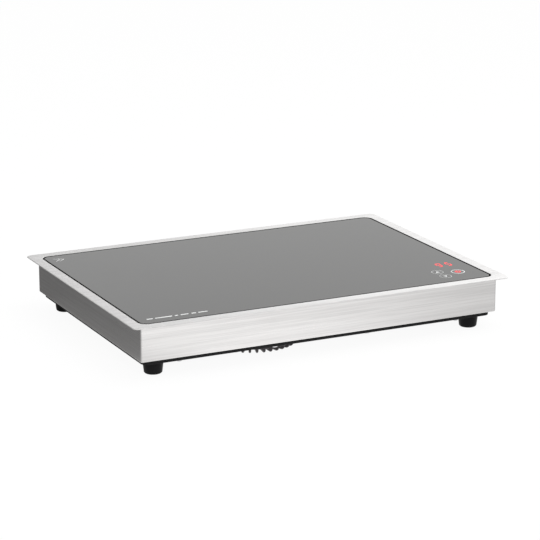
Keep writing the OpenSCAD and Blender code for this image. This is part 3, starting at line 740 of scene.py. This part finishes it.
# %% Tree: bars along a path, round an axis
ribbed, given, result = new_group(
    "ribs_round_axis", {"Path": (GEOMETRY, None), "Count": (INTEGER, 40),
                        "Width": (FLOAT, 0.0024), "Depth": (FLOAT, 0.003),
                        "Edge radius": (FLOAT, 0.0006), "Corner steps": (INTEGER, 2),
                        "Centre": (VECTOR, (0.0, 0.0, 0.0)), "Material": (MATERIAL, None)},
    ["Geometry"], "GeometryNodeTree")
line = add(ribbed, "GeometryNodeMeshToCurve", {"Mesh": given["Path"]}).outputs[0]
section = add(ribbed, "GeometryNodeCurvePrimitiveQuadrilateral",
              {"Width": given["Width"], "Height": given["Depth"]}).outputs[0]
softened = add(ribbed, "GeometryNodeFilletCurve",
               {"Curve": section, "Radius": given["Edge radius"],
                "Count": given["Corner steps"]}, mode="POLY").outputs[0]
bar = add(ribbed, "GeometryNodeCurveToMesh",
          {"Curve": line, "Profile Curve": softened, "Fill Caps": True}).outputs[0]
end_tree(ribbed, ring_of(ribbed, bar, given), given, result)


# %% Running a tree
def run_tree(tree, base, **values):
    """Runs a tree on a base mesh with the given inputs and returns a plain mesh."""
    host = helper_object(base)
    modifier = host.modifiers.new("nodes", "NODES")
    modifier.node_group = tree
    for item in tree.interface.items_tree:
        key = item.name.replace(" ", "_")
        if item.item_type == "SOCKET" and item.in_out == "INPUT" and key in values:
            modifier[item.identifier] = values[key]
    mesh = evaluated(host)
    drop(host)
    return mesh


def repeat_at(points, mesh, material=None, largest_turn=0.0, seed=1):
    """A mesh repeated at points in millimetres, (x, y) or (x, y, z)."""
    places = bpy.data.meshes.new("places")
    places.from_pydata([tuple(c * MM for c in (*p, 0.0)[:3]) for p in points], [], [])
    part = helper_object(mesh)
    result = run_tree(at_places, places, Part=part, Largest_turn=largest_turn, Seed=seed,
                      Material=material)
    drop(part)
    return result


def joined(*meshes):
    """Several meshes as one."""
    bm = bmesh.new()
    for mesh in meshes:
        bm.from_mesh(mesh)
    result = bpy.data.meshes.new("joined")
    bm.to_mesh(result)
    bm.free()
    return result


# %% [markdown]
# ## The top frame
# The frame is one pressed sheet: a flat rim, a small step down along the glass, and a ledge below
# that the plate rests on. A press leaves a rounded outer edge and a soft bend at the step, and
# those two thin highlights are what makes sheet look like sheet. The section is drawn once, as
# (inset from the outer edge, height), and swept round the rectangle.

# %% Top frame
low, high = span("top_frame")
frame_top, seat_low = high.z, low.z
rim_under = span("housing_shell")[1].z
BORDER, LEDGE, SHEET, EDGE_SHARE, STEP_BEND = 14.0, 13.0, 0.9, 0.72, 0.7
FRAME_CORNER, OPENING_CORNER, LEDGE_CORNER = 7.0, 11.0, 4.0
edge = (frame_top - rim_under) * EDGE_SHARE
section = [(0.35, rim_under), (0.0, rim_under + 0.3)]
section += arc(edge, frame_top - edge, edge, 180, 90)
section += arc(BORDER - STEP_BEND, frame_top - STEP_BEND, STEP_BEND, 90, 0, 5)
section += [(BORDER, seat_low + SHEET), (BORDER + LEDGE, seat_low + SHEET),
            (BORDER + LEDGE, seat_low), (BORDER - SHEET + 0.5, seat_low),
            (BORDER - SHEET, seat_low + 0.5), (BORDER - SHEET, rim_under)]


def frame_radius(inset):
    """The corner radius runs from the outer corner to the opening's, then to the ledge's."""
    if inset <= BORDER:
        return FRAME_CORNER + (OPENING_CORNER - FRAME_CORNER) * inset / BORDER
    return LEDGE_CORNER


make_piece("steel_top_frame", swept(high - low, frame_radius, section), "steel_brushed",
           "top_frame", material=steel_top)

# %% [markdown]
# ## The glass plate and its joint
# The plate is ground to size, with a fine rounded edge that catches a line of light. It sits a
# little below the steel. The joint between them is silicone, drawn off with a tool, so it is
# slightly hollow.

# %% Glass plate
low, high = span("glass_plate")
glass_low, glass_top = low.z, high.z
GLASS_CORNER, GROUND = 9.0, 0.35
section = [(GROUND, glass_low), (0.0, glass_low + GROUND)]
section += arc(GROUND, glass_top - GROUND, GROUND, 180, 90, 3)
make_piece("glass_cooking_plate",
           swept(high - low, lambda inset: GLASS_CORNER - inset, section, closed=False),
           "glass_black", "glass_plate")

# %% Joint
low, high = span("glass_seal")
JOINT, BED, HOLLOW, GAP, BELOW_RIM, JOINT_STEPS = 2.0, 6.0, 0.10, 0.02, 0.06, 6
section = []
for k in range(JOINT_STEPS + 1):
    share = k / JOINT_STEPS
    fall = (frame_top - BELOW_RIM - glass_top) * (1 - share)
    section.append((JOINT * share, glass_top - GAP + fall - HOLLOW * math.sin(math.pi * share)))
section += [(JOINT, glass_low - GAP), (JOINT + BED, glass_low - GAP), (JOINT + BED, low.z),
            (0.0, low.z)]
make_piece("silicone_joint",
           swept(high - low, lambda inset: max(OPENING_CORNER - inset, 3.0), section),
           "silicone_black", "glass_seal")

# %% [markdown]
# ## The housing
# Four walls and a lip folded in at the bottom, all from one sheet under a millimetre thick. The
# bends have a small radius, and the lower fold shows as a thin bright line. The rear wall has a
# row of punched air slots and the hole for the mains gland. The slots repeat, so a tree sets one
# rounded cutter in a row, and the whole row is taken away from the wall at once.

# %% Housing shell
low, high = span("housing_shell")
house_low, wall_y = low.z, (high.y - low.y) / 2
BEND, LIP, FOLD, LIP_CORNER = 2.4, 16.0, 1.5, 6.0
section = [(0.0, high.z)] + arc(FOLD, house_low + FOLD, FOLD, 180, 270, 5)
section += [(LIP - 0.1, house_low), (LIP - 0.1, house_low + SHEET)]
section += arc(SHEET + 0.5, house_low + SHEET + 0.5, 0.5, 270, 180, 3) + [(SHEET, high.z)]
shell = swept(high - low, lambda inset: BEND - inset * 0.9 if inset < 2 else LIP_CORNER, section,
              steps=8)


def slot_cutter(width, length, depth, upright):
    """A slot with round ends, to be taken away. Its length runs along Z if upright, else Y."""
    ends = long_loop((length - width) / 2, width / 2, 0)
    return solid([[(u, d, v) if upright else (u, v, d) for u, v in ends]
                  for d in (-depth / 2, depth / 2)])


VENT_COUNT, VENT_FIRST, VENT_PITCH, VENT_RISE = 22, 30.0, 8.0, 22.0
vents = repeat_at([(VENT_FIRST + VENT_PITCH * k, wall_y, house_low + VENT_RISE)
                   for k in range(VENT_COUNT)], slot_cutter(3.0, 20.0, 8.0, True))
gland_low, gland_high = span("cord_gland")
gland_at = middle_of(gland_low, gland_high, 0, 2)
gland_hole = turned([(7.1, wall_y - 4), (7.1, wall_y + 4)], 48, gland_at, along="Y")
make_piece("steel_housing", cut(shell, joined(vents, gland_hole)), "steel_brushed",
           "housing_shell")

# %% [markdown]
# ## The base pan
# A shallow black moulding closes the hob from below. Its lower edge is rounded, raised rings carry
# the feet, long beads stiffen the floor, and a raised line marks a blank panel. A round hole feeds
# the fan, and a row of slots lets the warm air out. Inside stand the posts that the coil and the
# boards are screwed to: one post, put by the tree where the CAD screws are.

# %% Base pan
low, high = span("base_pan")
pan_low = low.z
WALL, PAN_CORNER, PAN_EDGE = 2.0, 8.0, 0.6
section = [(WALL + 1.0, pan_low + WALL), (WALL, pan_low + WALL + 1.0), (WALL, house_low),
           (0.0, house_low)]
section += arc(PAN_EDGE, pan_low + PAN_EDGE, PAN_EDGE, 180, 270, 6)
tray = swept(high - low, lambda inset: PAN_CORNER - inset, section, closed=False, steps=8)

fan_at = middle_of(*span("fan_frame"))
OUTLET_COUNT, OUTLET_FIRST, OUTLET_PITCH, OUTLET_Y = 15, 84.0, 8.0, 134.5
outlets = repeat_at([(OUTLET_FIRST + OUTLET_PITCH * k, OUTLET_Y, pan_low)
                     for k in range(OUTLET_COUNT)], slot_cutter(3.0, 15.0, 12.0, False))
tray = cut(tray, joined(outlets, turned([(54.0, pan_low - 4), (54.0, pan_low + 4)], 64, fan_at)))
print("tray", len(tray.polygons), "faces")


# %% Posts and pads on the base
def post(radius, bottom, top):
    """A moulded post: a wider foot, a slight draft and a broken top edge."""
    return turned([(radius + 0.8, bottom), (radius, bottom + 1.6), (radius - 0.25, top - 0.4),
                   (radius - 0.65, top)], 20)


floor_top = pan_low + WALL - 0.2
parts = [repeat_at(middles(node), post(radius, floor_top, top)) for node, radius, top in (
    ("carrier_screws", 4.5, span("coil_carrier")[0].z - 10.0),
    ("board_screws", 3.5, span("power_board")[0].z),
    ("control_screws", 3.5, span("control_bracket")[0].z),
    ("foot_screws", 5.5, floor_top + 12.2))]
low, high = span("foot_front_left")
pad_r = (high.x - low.x) / 2 + 0.9
BURIED, PAD = 0.3, 0.6
pad = turned([(pad_r, pan_low + BURIED), (pad_r, pan_low - 0.2), (pad_r - 0.4, pan_low - PAD),
              (pad_r - 1.5, pan_low - PAD), (pad_r - 1.5, pan_low + BURIED)], 40)
parts.append(repeat_at(middles("foot_screws"), pad))


# %% Beads and a blank panel under the base
def bead(length, half, height):
    """A raised rib with round ends along X, a little buried in the floor of the pan."""
    steps = ((0.0, BURIED), (0.0, -0.2), (0.25, -height * 0.75), (0.8, -height))
    return solid([[(x, y, pan_low + up) for x, y in long_loop(length / 2 - half, half - d, -90)]
                  for d, up in steps])


for middle_x, ys, length in ((-60.0, (18.0, 42.0, 66.0, 90.0), 230.0),
                             (126.0, (36.0, 60.0, 84.0), 90.0)):
    parts.append(repeat_at([(middle_x, y) for y in ys], bead(length, 2.4, 1.1)))
PANEL_AT, PANEL_SIZE = (112.0, -58.0), Vector((96.0, 56.0))
section = [(0.0, BURIED), (0.0, -0.5), (0.4, -0.9), (1.6, -0.9), (2.0, -0.5), (2.0, BURIED)]
parts.append(swept(PANEL_SIZE, lambda inset: 5.0 - inset,
                   [(d, pan_low + up) for d, up in section], steps=6, at=PANEL_AT))
make_piece("moulded_base_pan", joined(tray, *parts), "plastic_black", "base_pan")

# %% [markdown]
# ## Rubber feet
# Each foot is turned from one profile: a flat top against the base, a slight taper, a rounded
# lower edge and a counterbore for its screw. The four are the same, but each stands for its own
# CAD foot, so each is a piece.

# %% Feet
TREAD_EDGE, BORE, COUNTERBORE, SEAT = 2.6, 2.1, 4.6, 6.0
for node in ("foot_front_left", "foot_front_right", "foot_rear_left", "foot_rear_right"):
    low, high = span(node)
    foot_top, foot_r = high.z, (high.x - low.x) / 2
    profile = [(BORE, foot_top), (foot_r - 0.5, foot_top), (foot_r, foot_top - 0.5),
               (foot_r, foot_top - 2.4), (foot_r - 0.4, foot_top - 3.6)]
    profile += [(foot_r - TREAD_EDGE * (1.6 - math.cos(math.radians(a))),
                 TREAD_EDGE * (1 - math.sin(math.radians(a)))) for a in (8, 20, 35, 50, 65, 80, 90)]
    profile += [(COUNTERBORE + 0.8, 0.0), (COUNTERBORE, 0.8), (COUNTERBORE, SEAT), (BORE, SEAT)]
    foot = turned(profile, 56, middle_of(low, high), closed=True)
    make_piece("rubber_" + node, foot, "rubber_black", node)

# %% [markdown]
# ## Screws
# Six CAD nodes hold nothing but pan-head screws. One screw is modelled with a domed head and a
# cross recess, cut by two crossed wedges. The tree puts it at each place and turns it at random,
# since no fitter stops every screw at the same angle.


# %% One screw
def screw_mesh(head_r, shank_r, head_z, seat_z, tip_z):
    """A pan-head screw on the Z axis. Its head spans head_z to seat_z, the shank goes to tip_z."""
    out = 1 if head_z > seat_z else -1
    height = abs(head_z - seat_z)
    profile = [(shank_r * 0.6, tip_z), (shank_r, tip_z + out * 1.2), (shank_r, seat_z),
               (head_r, seat_z)]
    profile += [(head_r * math.cos(math.radians(a)) ** 0.55,
                 seat_z + out * height * (0.35 + 0.65 * math.sin(math.radians(a))))
                for a in (0, 25, 50, 70)]
    screw = turned(profile + [(head_r * 0.12, head_z)], 24)
    half, reach = head_r * 0.07, head_r * 0.52
    wedge = [(head_z - out * height * 0.75, half, reach * 0.45),
             (head_z + out * 0.5, half * 2.6, reach)]
    for quarter in (False, True):
        loops = []
        for z, w, r in wedge:
            corners = [(-r, -w), (r, -w), (r, w), (-r, w)]
            loops.append([(y, x, z) if quarter else (x, y, z) for x, y in corners])
        screw = cut(screw, solid(loops))
    return screw


# %% All screws
LARGEST_TURN = 1.57
# Each row: piece, CAD node, radius of head and shank, height of the head, head up, seed.
for name, node, head_r, shank_r, head, head_up, seed in (
        ("screws_of_base", "base_screws", 3.5, 1.6, 2.0, False, 3),
        ("screws_of_feet", "foot_screws", 4.0, 2.0, 2.6, False, 5),
        ("screws_of_guard", "guard_screws", 3.8, 2.0, 2.0, False, 7),
        ("screws_of_carrier", "carrier_screws", 4.0, 1.6, 2.0, True, 11),
        ("screws_of_boards", "board_screws", 2.6, 1.3, 1.8, True, 13),
        ("screws_of_controls", "control_screws", 2.6, 1.3, 1.8, True, 17)):
    boxes = sorted(solids(node), key=lambda b: (round(b[0].x, 1), round(b[0].y, 1)))
    low, high = boxes[0]
    ends = (high.z, high.z - head, low.z) if head_up else (low.z, low.z + head, high.z)
    places = [middle_of(*box) for box in boxes]
    mesh = repeat_at(places, screw_mesh(head_r, shank_r, *ends), finishes["steel_zinc"],
                     LARGEST_TURN, seed)
    make_piece(name, mesh, "steel_zinc", node)

# %% [markdown]
# ## The fan guard
# Under the hob hangs a round basket. Forty ribs run out from a small disc, turn up round a soft
# corner, and end in a flat ring with four ears. A tree draws one rounded bar along the rib's path
# and repeats it. The outline of the mounting ring is worked out in polar form, where each ear is
# a round end on a straight arm.

# %% Ribs
low, high = span("fan_guard")
guard_low, guard_top = low.z, high.z
RIBS, RIB_WIDTH, RIB_DEPTH, RIB_EDGE, RIB_TURN = 40, 3.0, 4.0, 1.3, 2.4
GUARD_R, HUB_R, MID_R, COLLAR, RING = 56.0, 22.0, 36.75, 6.2, 1.6
ring_low = guard_top - RING
rib_z, outer = guard_low + RIB_DEPTH / 2, GUARD_R - RIB_DEPTH / 2
path = [(HUB_R - 1.0, rib_z)] + arc(outer - RIB_TURN, rib_z + RIB_TURN, RIB_TURN, -90, 0, 5)
path += [(outer, ring_low - COLLAR + 0.6)]
path_mesh = bpy.data.meshes.new("path")
path_mesh.from_pydata([(r * MM, 0.0, z * MM) for r, z in path],
                      [(k, k + 1) for k in range(len(path) - 1)], [])
fan_centre = (fan_at[0] * MM, fan_at[1] * MM, 0.0)
ribs = run_tree(ribbed, path_mesh, Count=RIBS, Width=RIB_WIDTH * MM, Depth=RIB_DEPTH * MM,
                Edge_radius=RIB_EDGE * MM, Corner_steps=3, Centre=fan_centre,
                Material=finishes["plastic_guard"])
print("ribs", len(ribs.polygons), "faces")

# %% Rings and ears
EAR_AT, EAR_R, ARM = 52.5 * math.sqrt(2), 6.0, 6.0


def ear_outline(angle, ring_r):
    """Radius of the mounting ring's outline at an angle: the ring, or an ear where one stands."""
    off = math.radians(math.degrees(angle) % 90.0 - 45.0)
    s, c = abs(math.sin(off)), math.cos(off)
    if EAR_AT * s < EAR_R:
        return EAR_AT * c + math.sqrt(EAR_R ** 2 - (EAR_AT * s) ** 2)
    return max(ring_r, ARM / s if ARM / s < EAR_AT else ring_r)


def ring_band(rim, inner_r, z0, z1, soft=0.35, count=240):
    """A flat ring between rim(angle) and a circle, its edges broken by soft. In the profile a
    radius of zero or less is measured inwards from the rim."""
    edges = [(soft, z0), (0, z0 + soft), (0, z1 - soft), (soft, z1)]
    profile = [(-d, z) for d, z in edges] + [(inner_r + d, z) for d, z in edges[::-1]]
    return turned(profile, count, fan_at, True, outline=lambda a, r: r if r > 0 else rim(a) + r)


collar = ring_band(lambda a: GUARD_R + 0.4, GUARD_R - 4.5, ring_low - COLLAR, ring_low + 0.2, 0.5)
mounting = ring_band(lambda a: ear_outline(a, GUARD_R + 4), GUARD_R - 4.5, ring_low, guard_top)
middle = ring_band(lambda a: MID_R + 1.25, MID_R - 1.25, guard_low, guard_low + RIB_DEPTH, 0.6, 96)
hub = turned([(HUB_R - 1.2, guard_low), (HUB_R - 0.35, guard_low + 0.35),
              (HUB_R, guard_low + 1.2), (HUB_R, guard_low + RIB_DEPTH - 0.5),
              (HUB_R - 0.5, guard_low + RIB_DEPTH)], 64, fan_at)
make_piece("ribbed_fan_guard", joined(ribs, mounting, collar, middle, hub), "plastic_guard",
           "fan_guard")

# %% [markdown]
# ## The fan wheel
# Seven swept blades stand on a round hub. A blade is a thin sheet whose pitch eases off towards
# the tip, bent along its chord. It is given a wall by a Solidify modifier, which is applied at
# once, and the tree repeats it round the axis. The wheel rides on the rotor's body.

# %% One blade
low, high = span("fan_impeller")
wheel_r, blade_mid = (high.x - low.x) / 2, (low.z + high.z) / 2
BLADES, BLADE_WALL, BLADE_BOW, BLADE_LEAN = 7, 1.3, 2.2, 10.0
WHEEL_HUB_R, HUB_WALL, ACROSS, ALONG = 20.5, 1.8, 8, 10
bm = bmesh.new()
rows = []
for i in range(ACROSS + 1):
    share = i / ACROSS
    r = WHEEL_HUB_R - 0.6 + (wheel_r - 0.9 - WHEEL_HUB_R) * share
    pitch, chord = math.radians(44 - 16 * share), 20.0 + 9.0 * share
    row = []
    for j in range(ALONG + 1):
        t = j / ALONG - 0.5
        bow = BLADE_BOW * (1 - 4 * t * t)
        around = (t * chord * math.cos(pitch) - bow * math.sin(pitch)) / r
        around += math.radians(BLADE_LEAN * share * share)
        z = blade_mid + t * chord * math.sin(pitch) * 0.96 + bow * math.cos(pitch) - 1.0
        z = min(max(z, low.z + 0.8), high.z - 0.8)
        row.append(bm.verts.new((*polar(r, around), z)))
    rows.append(row)
for a, b in zip(rows, rows[1:]):
    for k in range(ALONG):
        bm.faces.new((a[k], b[k], b[k + 1], a[k + 1]))
sheet = helper_object(to_mesh(bm))
wall = sheet.modifiers.new("wall", "SOLIDIFY")
wall.thickness, wall.offset = BLADE_WALL * MM, 0.0
part = helper_object(evaluated(sheet))
blades = run_tree(round_axis, bpy.data.meshes.new("none"), Part=part, Count=BLADES,
                  Centre=fan_centre, Material=finishes["plastic_guard"])
drop(sheet, part)
print("blades", len(blades.polygons), "faces")

# %% Wheel
wheel_hub = turned(
    [(3.2, low.z + 1.9), (3.2, low.z + 4.5), (1.6, low.z + 4.5), (1.6, low.z + 1.0),
     (WHEEL_HUB_R - 2.2, low.z), (WHEEL_HUB_R - 0.7, low.z + 0.3), (WHEEL_HUB_R, low.z + 1.2),
     (WHEEL_HUB_R, high.z), (WHEEL_HUB_R - HUB_WALL, high.z),
     (WHEEL_HUB_R - HUB_WALL, low.z + 2.0)], 64, fan_at, closed=True)
make_piece("fan_wheel", joined(blades, wheel_hub), "plastic_guard", "fan_impeller",
           body="fan_rotor")

# %% [markdown]
# ## The mains gland
# The rear wall carries a screwed gland. Its body has a hexagon for the spanner, and its domed nut
# is fluted for the fingers. A second hexagon nut clamps it from inside. Nut and body are turned
# again, but the radius of a loop may change with the angle, which gives the flats and the flutes.


# %% Gland
def hexagon(angle, corner_r):
    return corner_r * math.cos(math.pi / 6) / math.cos((angle % (math.pi / 3)) - math.pi / 6)


def fluted(angle, r):
    return r - 0.35 * (0.5 + 0.5 * math.cos(18 * angle)) ** 2 if r > 8.2 else r


def on_gland(profile, count, outline=None, start=0.0):
    """A solid turned about the gland's axis. Its profile is (radius, distance behind start)."""
    return turned([(r, start + y) for r, y in profile], count, gland_at, True, "Y", outline)


GLAND_BORE, THREAD_R, THREAD_DEPTH, THREAD_STEP, THREADS = 3.6, 7.0, 0.35, 0.75, 14
inner_y, tip = gland_low.y - wall_y, gland_high.y - wall_y
spanner = on_gland([(7.0, 0.0), (10.5, 0.0), (10.8, 0.5), (10.8, 2.7), (10.3, 3.2), (7.0, 3.2)],
                   72, hexagon, wall_y)
dome = on_gland([(GLAND_BORE, 3.0), (9.5, 3.0), (9.5, 6.5), (9.2, 7.6), (8.4, 8.9), (7.3, 10.0),
                 (6.0, tip - 0.15), (4.6, tip), (GLAND_BORE + 0.3, tip - 0.2),
                 (GLAND_BORE, tip - 0.8)], 144, fluted, wall_y)
thread = [(THREAD_R - THREAD_DEPTH * (k % 2), inner_y + 0.8 + THREAD_STEP * k)
          for k in range(THREADS)]
stem = on_gland([(GLAND_BORE, inner_y), (6.4, inner_y)] + thread
                + [(THREAD_R, 1.0), (GLAND_BORE, 1.0)], 48, None, wall_y)
make_piece("mains_gland", joined(spanner, dome, stem), "plastic_black", "cord_gland")
low, high = span("gland_nut")
nut = on_gland([(7.1, low.y), (9.9, low.y), (10.5, low.y + 0.6), (10.5, high.y - 0.6),
                (9.9, high.y), (7.1, high.y)], 72, hexagon)
make_piece("gland_lock_nut", nut, "plastic_black", "gland_nut")

# %% [markdown]
# ## Marks on the glass
# The touch keys have no buttons. Thin rings and arrows are printed on the glass above each sensor
# spring, and the on/off key is a bolder ring round a red sign. The figures of the display glow
# through. Print is a few hundredths of a millimetre thick, which is enough to give it a body of
# its own. Every key is placed from the CAD springs, and the figures from the display below. The
# front edge carries a plain row of bars and the far corner a plain wedge.

# %% Helpers for print
PRINT = 0.05
marks, lights = bmesh.new(), bmesh.new()


def band(bm, at, radius, width, start=0.0, end=360.0, count=64):
    """A printed ring, or a part of one between two angles."""
    whole = end - start >= 360
    inner, outer, z0, z1 = radius - width / 2, radius + width / 2, glass_top, glass_top + PRINT
    loops = []
    for k in range(count + (not whole)):
        a = math.radians(start + (end - start) * k / count)
        loops.append([(*polar(r, a, *at), z)
                      for r, z in ((inner, z0), (outer, z0), (outer, z1), (inner, z1))])
    skin(bm, loops, closed=whole)


def patch(bm, outline):
    """A printed flat shape from its corners (x, y)."""
    skin(bm, [[(x, y, z) for x, y in outline] for z in (glass_top, glass_top + PRINT)])


# %% Keys
keys = middles("touch_springs")
plus_key, minus_key = sorted(keys[:2], key=lambda p: -p[1])
power_key = keys[2]
KEY_R, KEY_LINE, POWER_R, POWER_LINE, SIGN_R, SIGN_LINE = 7.1, 0.5, 7.9, 1.2, 3.1, 1.3
for (x, y), up in ((plus_key, 1), (minus_key, -1)):
    band(marks, (x, y), KEY_R, KEY_LINE)
    patch(marks, [(x - 2.9, y - up * 2.2), (x + 2.9, y - up * 2.2), (x, y + up * 3.2)][::up])
band(marks, power_key, POWER_R, POWER_LINE)
band(lights, power_key, SIGN_R, SIGN_LINE, 118.0, 422.0, 40)
x, y = power_key
patch(lights, [(x - SIGN_LINE / 2, y + 0.6), (x + SIGN_LINE / 2, y + 0.6),
               (x + SIGN_LINE / 2, y + 4.6), (x - SIGN_LINE / 2, y + 4.6)])
print("keys:", plus_key, minus_key, power_key)

# %% Plain marks at the edges
BARS = ((0.0, 4.6), (6.4, 13.0), (21.6, 2.4), (26.0, 6.0), (34.4, 3.4), (39.6, 7.2))
BAR_START, BAR_Y, BAR_HEIGHT, BAR_SCALE, BAR_LEAN = -215.0, -141.0, 2.8, 1.6, 0.8
for offset, length in BARS:
    x0, x1 = BAR_START + offset * BAR_SCALE, BAR_START + (offset + length) * BAR_SCALE
    y0, y1 = BAR_Y - BAR_HEIGHT / 2, BAR_Y + BAR_HEIGHT / 2
    patch(marks, [(x0, y0), (x1, y0), (x1 + BAR_LEAN, y1), (x0 + BAR_LEAN, y1)])
WEDGE_XS, WEDGE_Y = (-213.0, -207.8), 138.0
for x in WEDGE_XS:
    patch(marks, [(x + dx, WEDGE_Y + dy) for dx, dy in (
        (-5.0, -6.0), (-3.8, -6.0), (3.2, 0.0), (-3.8, 6.0), (-5.0, 6.0), (1.8, 0.0))])
print("bars:", len(BARS))

# %% Lit figures
SEGMENTS = {"9": "abcdfg", "5": "acdfg"}
FIGURE_W, FIGURE_H, STROKE, SLANT, SPLIT = 6.6, 14.5, 1.35, 0.12, 0.25
LINES = {"a": ((0, 1), (1, 1)), "b": ((1, 0.5), (1, 1)), "c": ((1, 0), (1, 0.5)),
         "d": ((0, 0), (1, 0)), "f": ((0, 0.5), (0, 1)), "g": ((0, 0.5), (1, 0.5))}


def figure(bm, digit, at):
    """One seven-segment figure about a point. Each segment is a bar with pointed ends."""
    w, h, s = FIGURE_W - STROKE, FIGURE_H - STROKE, STROKE / 2
    for name in SEGMENTS[digit]:
        (u0, v0), (u1, v1) = LINES[name]
        x0, y0, x1, y1 = (u0 - 0.5) * w, (v0 - 0.5) * h, (u1 - 0.5) * w, (v1 - 0.5) * h
        level = y0 == y1
        long = (x1 - x0 if level else y1 - y0) - SPLIT
        shape = [(SPLIT, 0), (s + SPLIT, -s), (long - s, -s), (long, 0), (long - s, s),
                 (s + SPLIT, s)]
        shape = [(x0 + u, y0 + v) if level else (x0 - v, y0 + u) for u, v in shape]
        patch(bm, [(at[0] + x + SLANT * y, at[1] + y) for x, y in shape])


x, y = middle_of(*span("display_module"))
for digit, shift in (("9", -6.2), ("5", 6.8)):
    figure(lights, digit, (x + shift, y))
make_piece("printed_marks", to_mesh(marks), "print_white", even=False)
make_piece("lit_signs", to_mesh(lights), "display_red", even=False)

# %% [markdown]
# ## Inside
# The coil, the boards and their parts keep their CAD shape, which is right already, and take the
# finish that the record names for them.

# %% Finishes for the nodes that stay
slot_of = {row["node"]: row["material_slot"] for row in frame["record"]["subparts"]}
kept = [name for name, thing in frame["nodes"].items() if not thing.hide_render]
for name in kept:
    paint_all(frame["nodes"][name].data, finishes[slot_of[name]])
print("kept nodes:", len(kept))
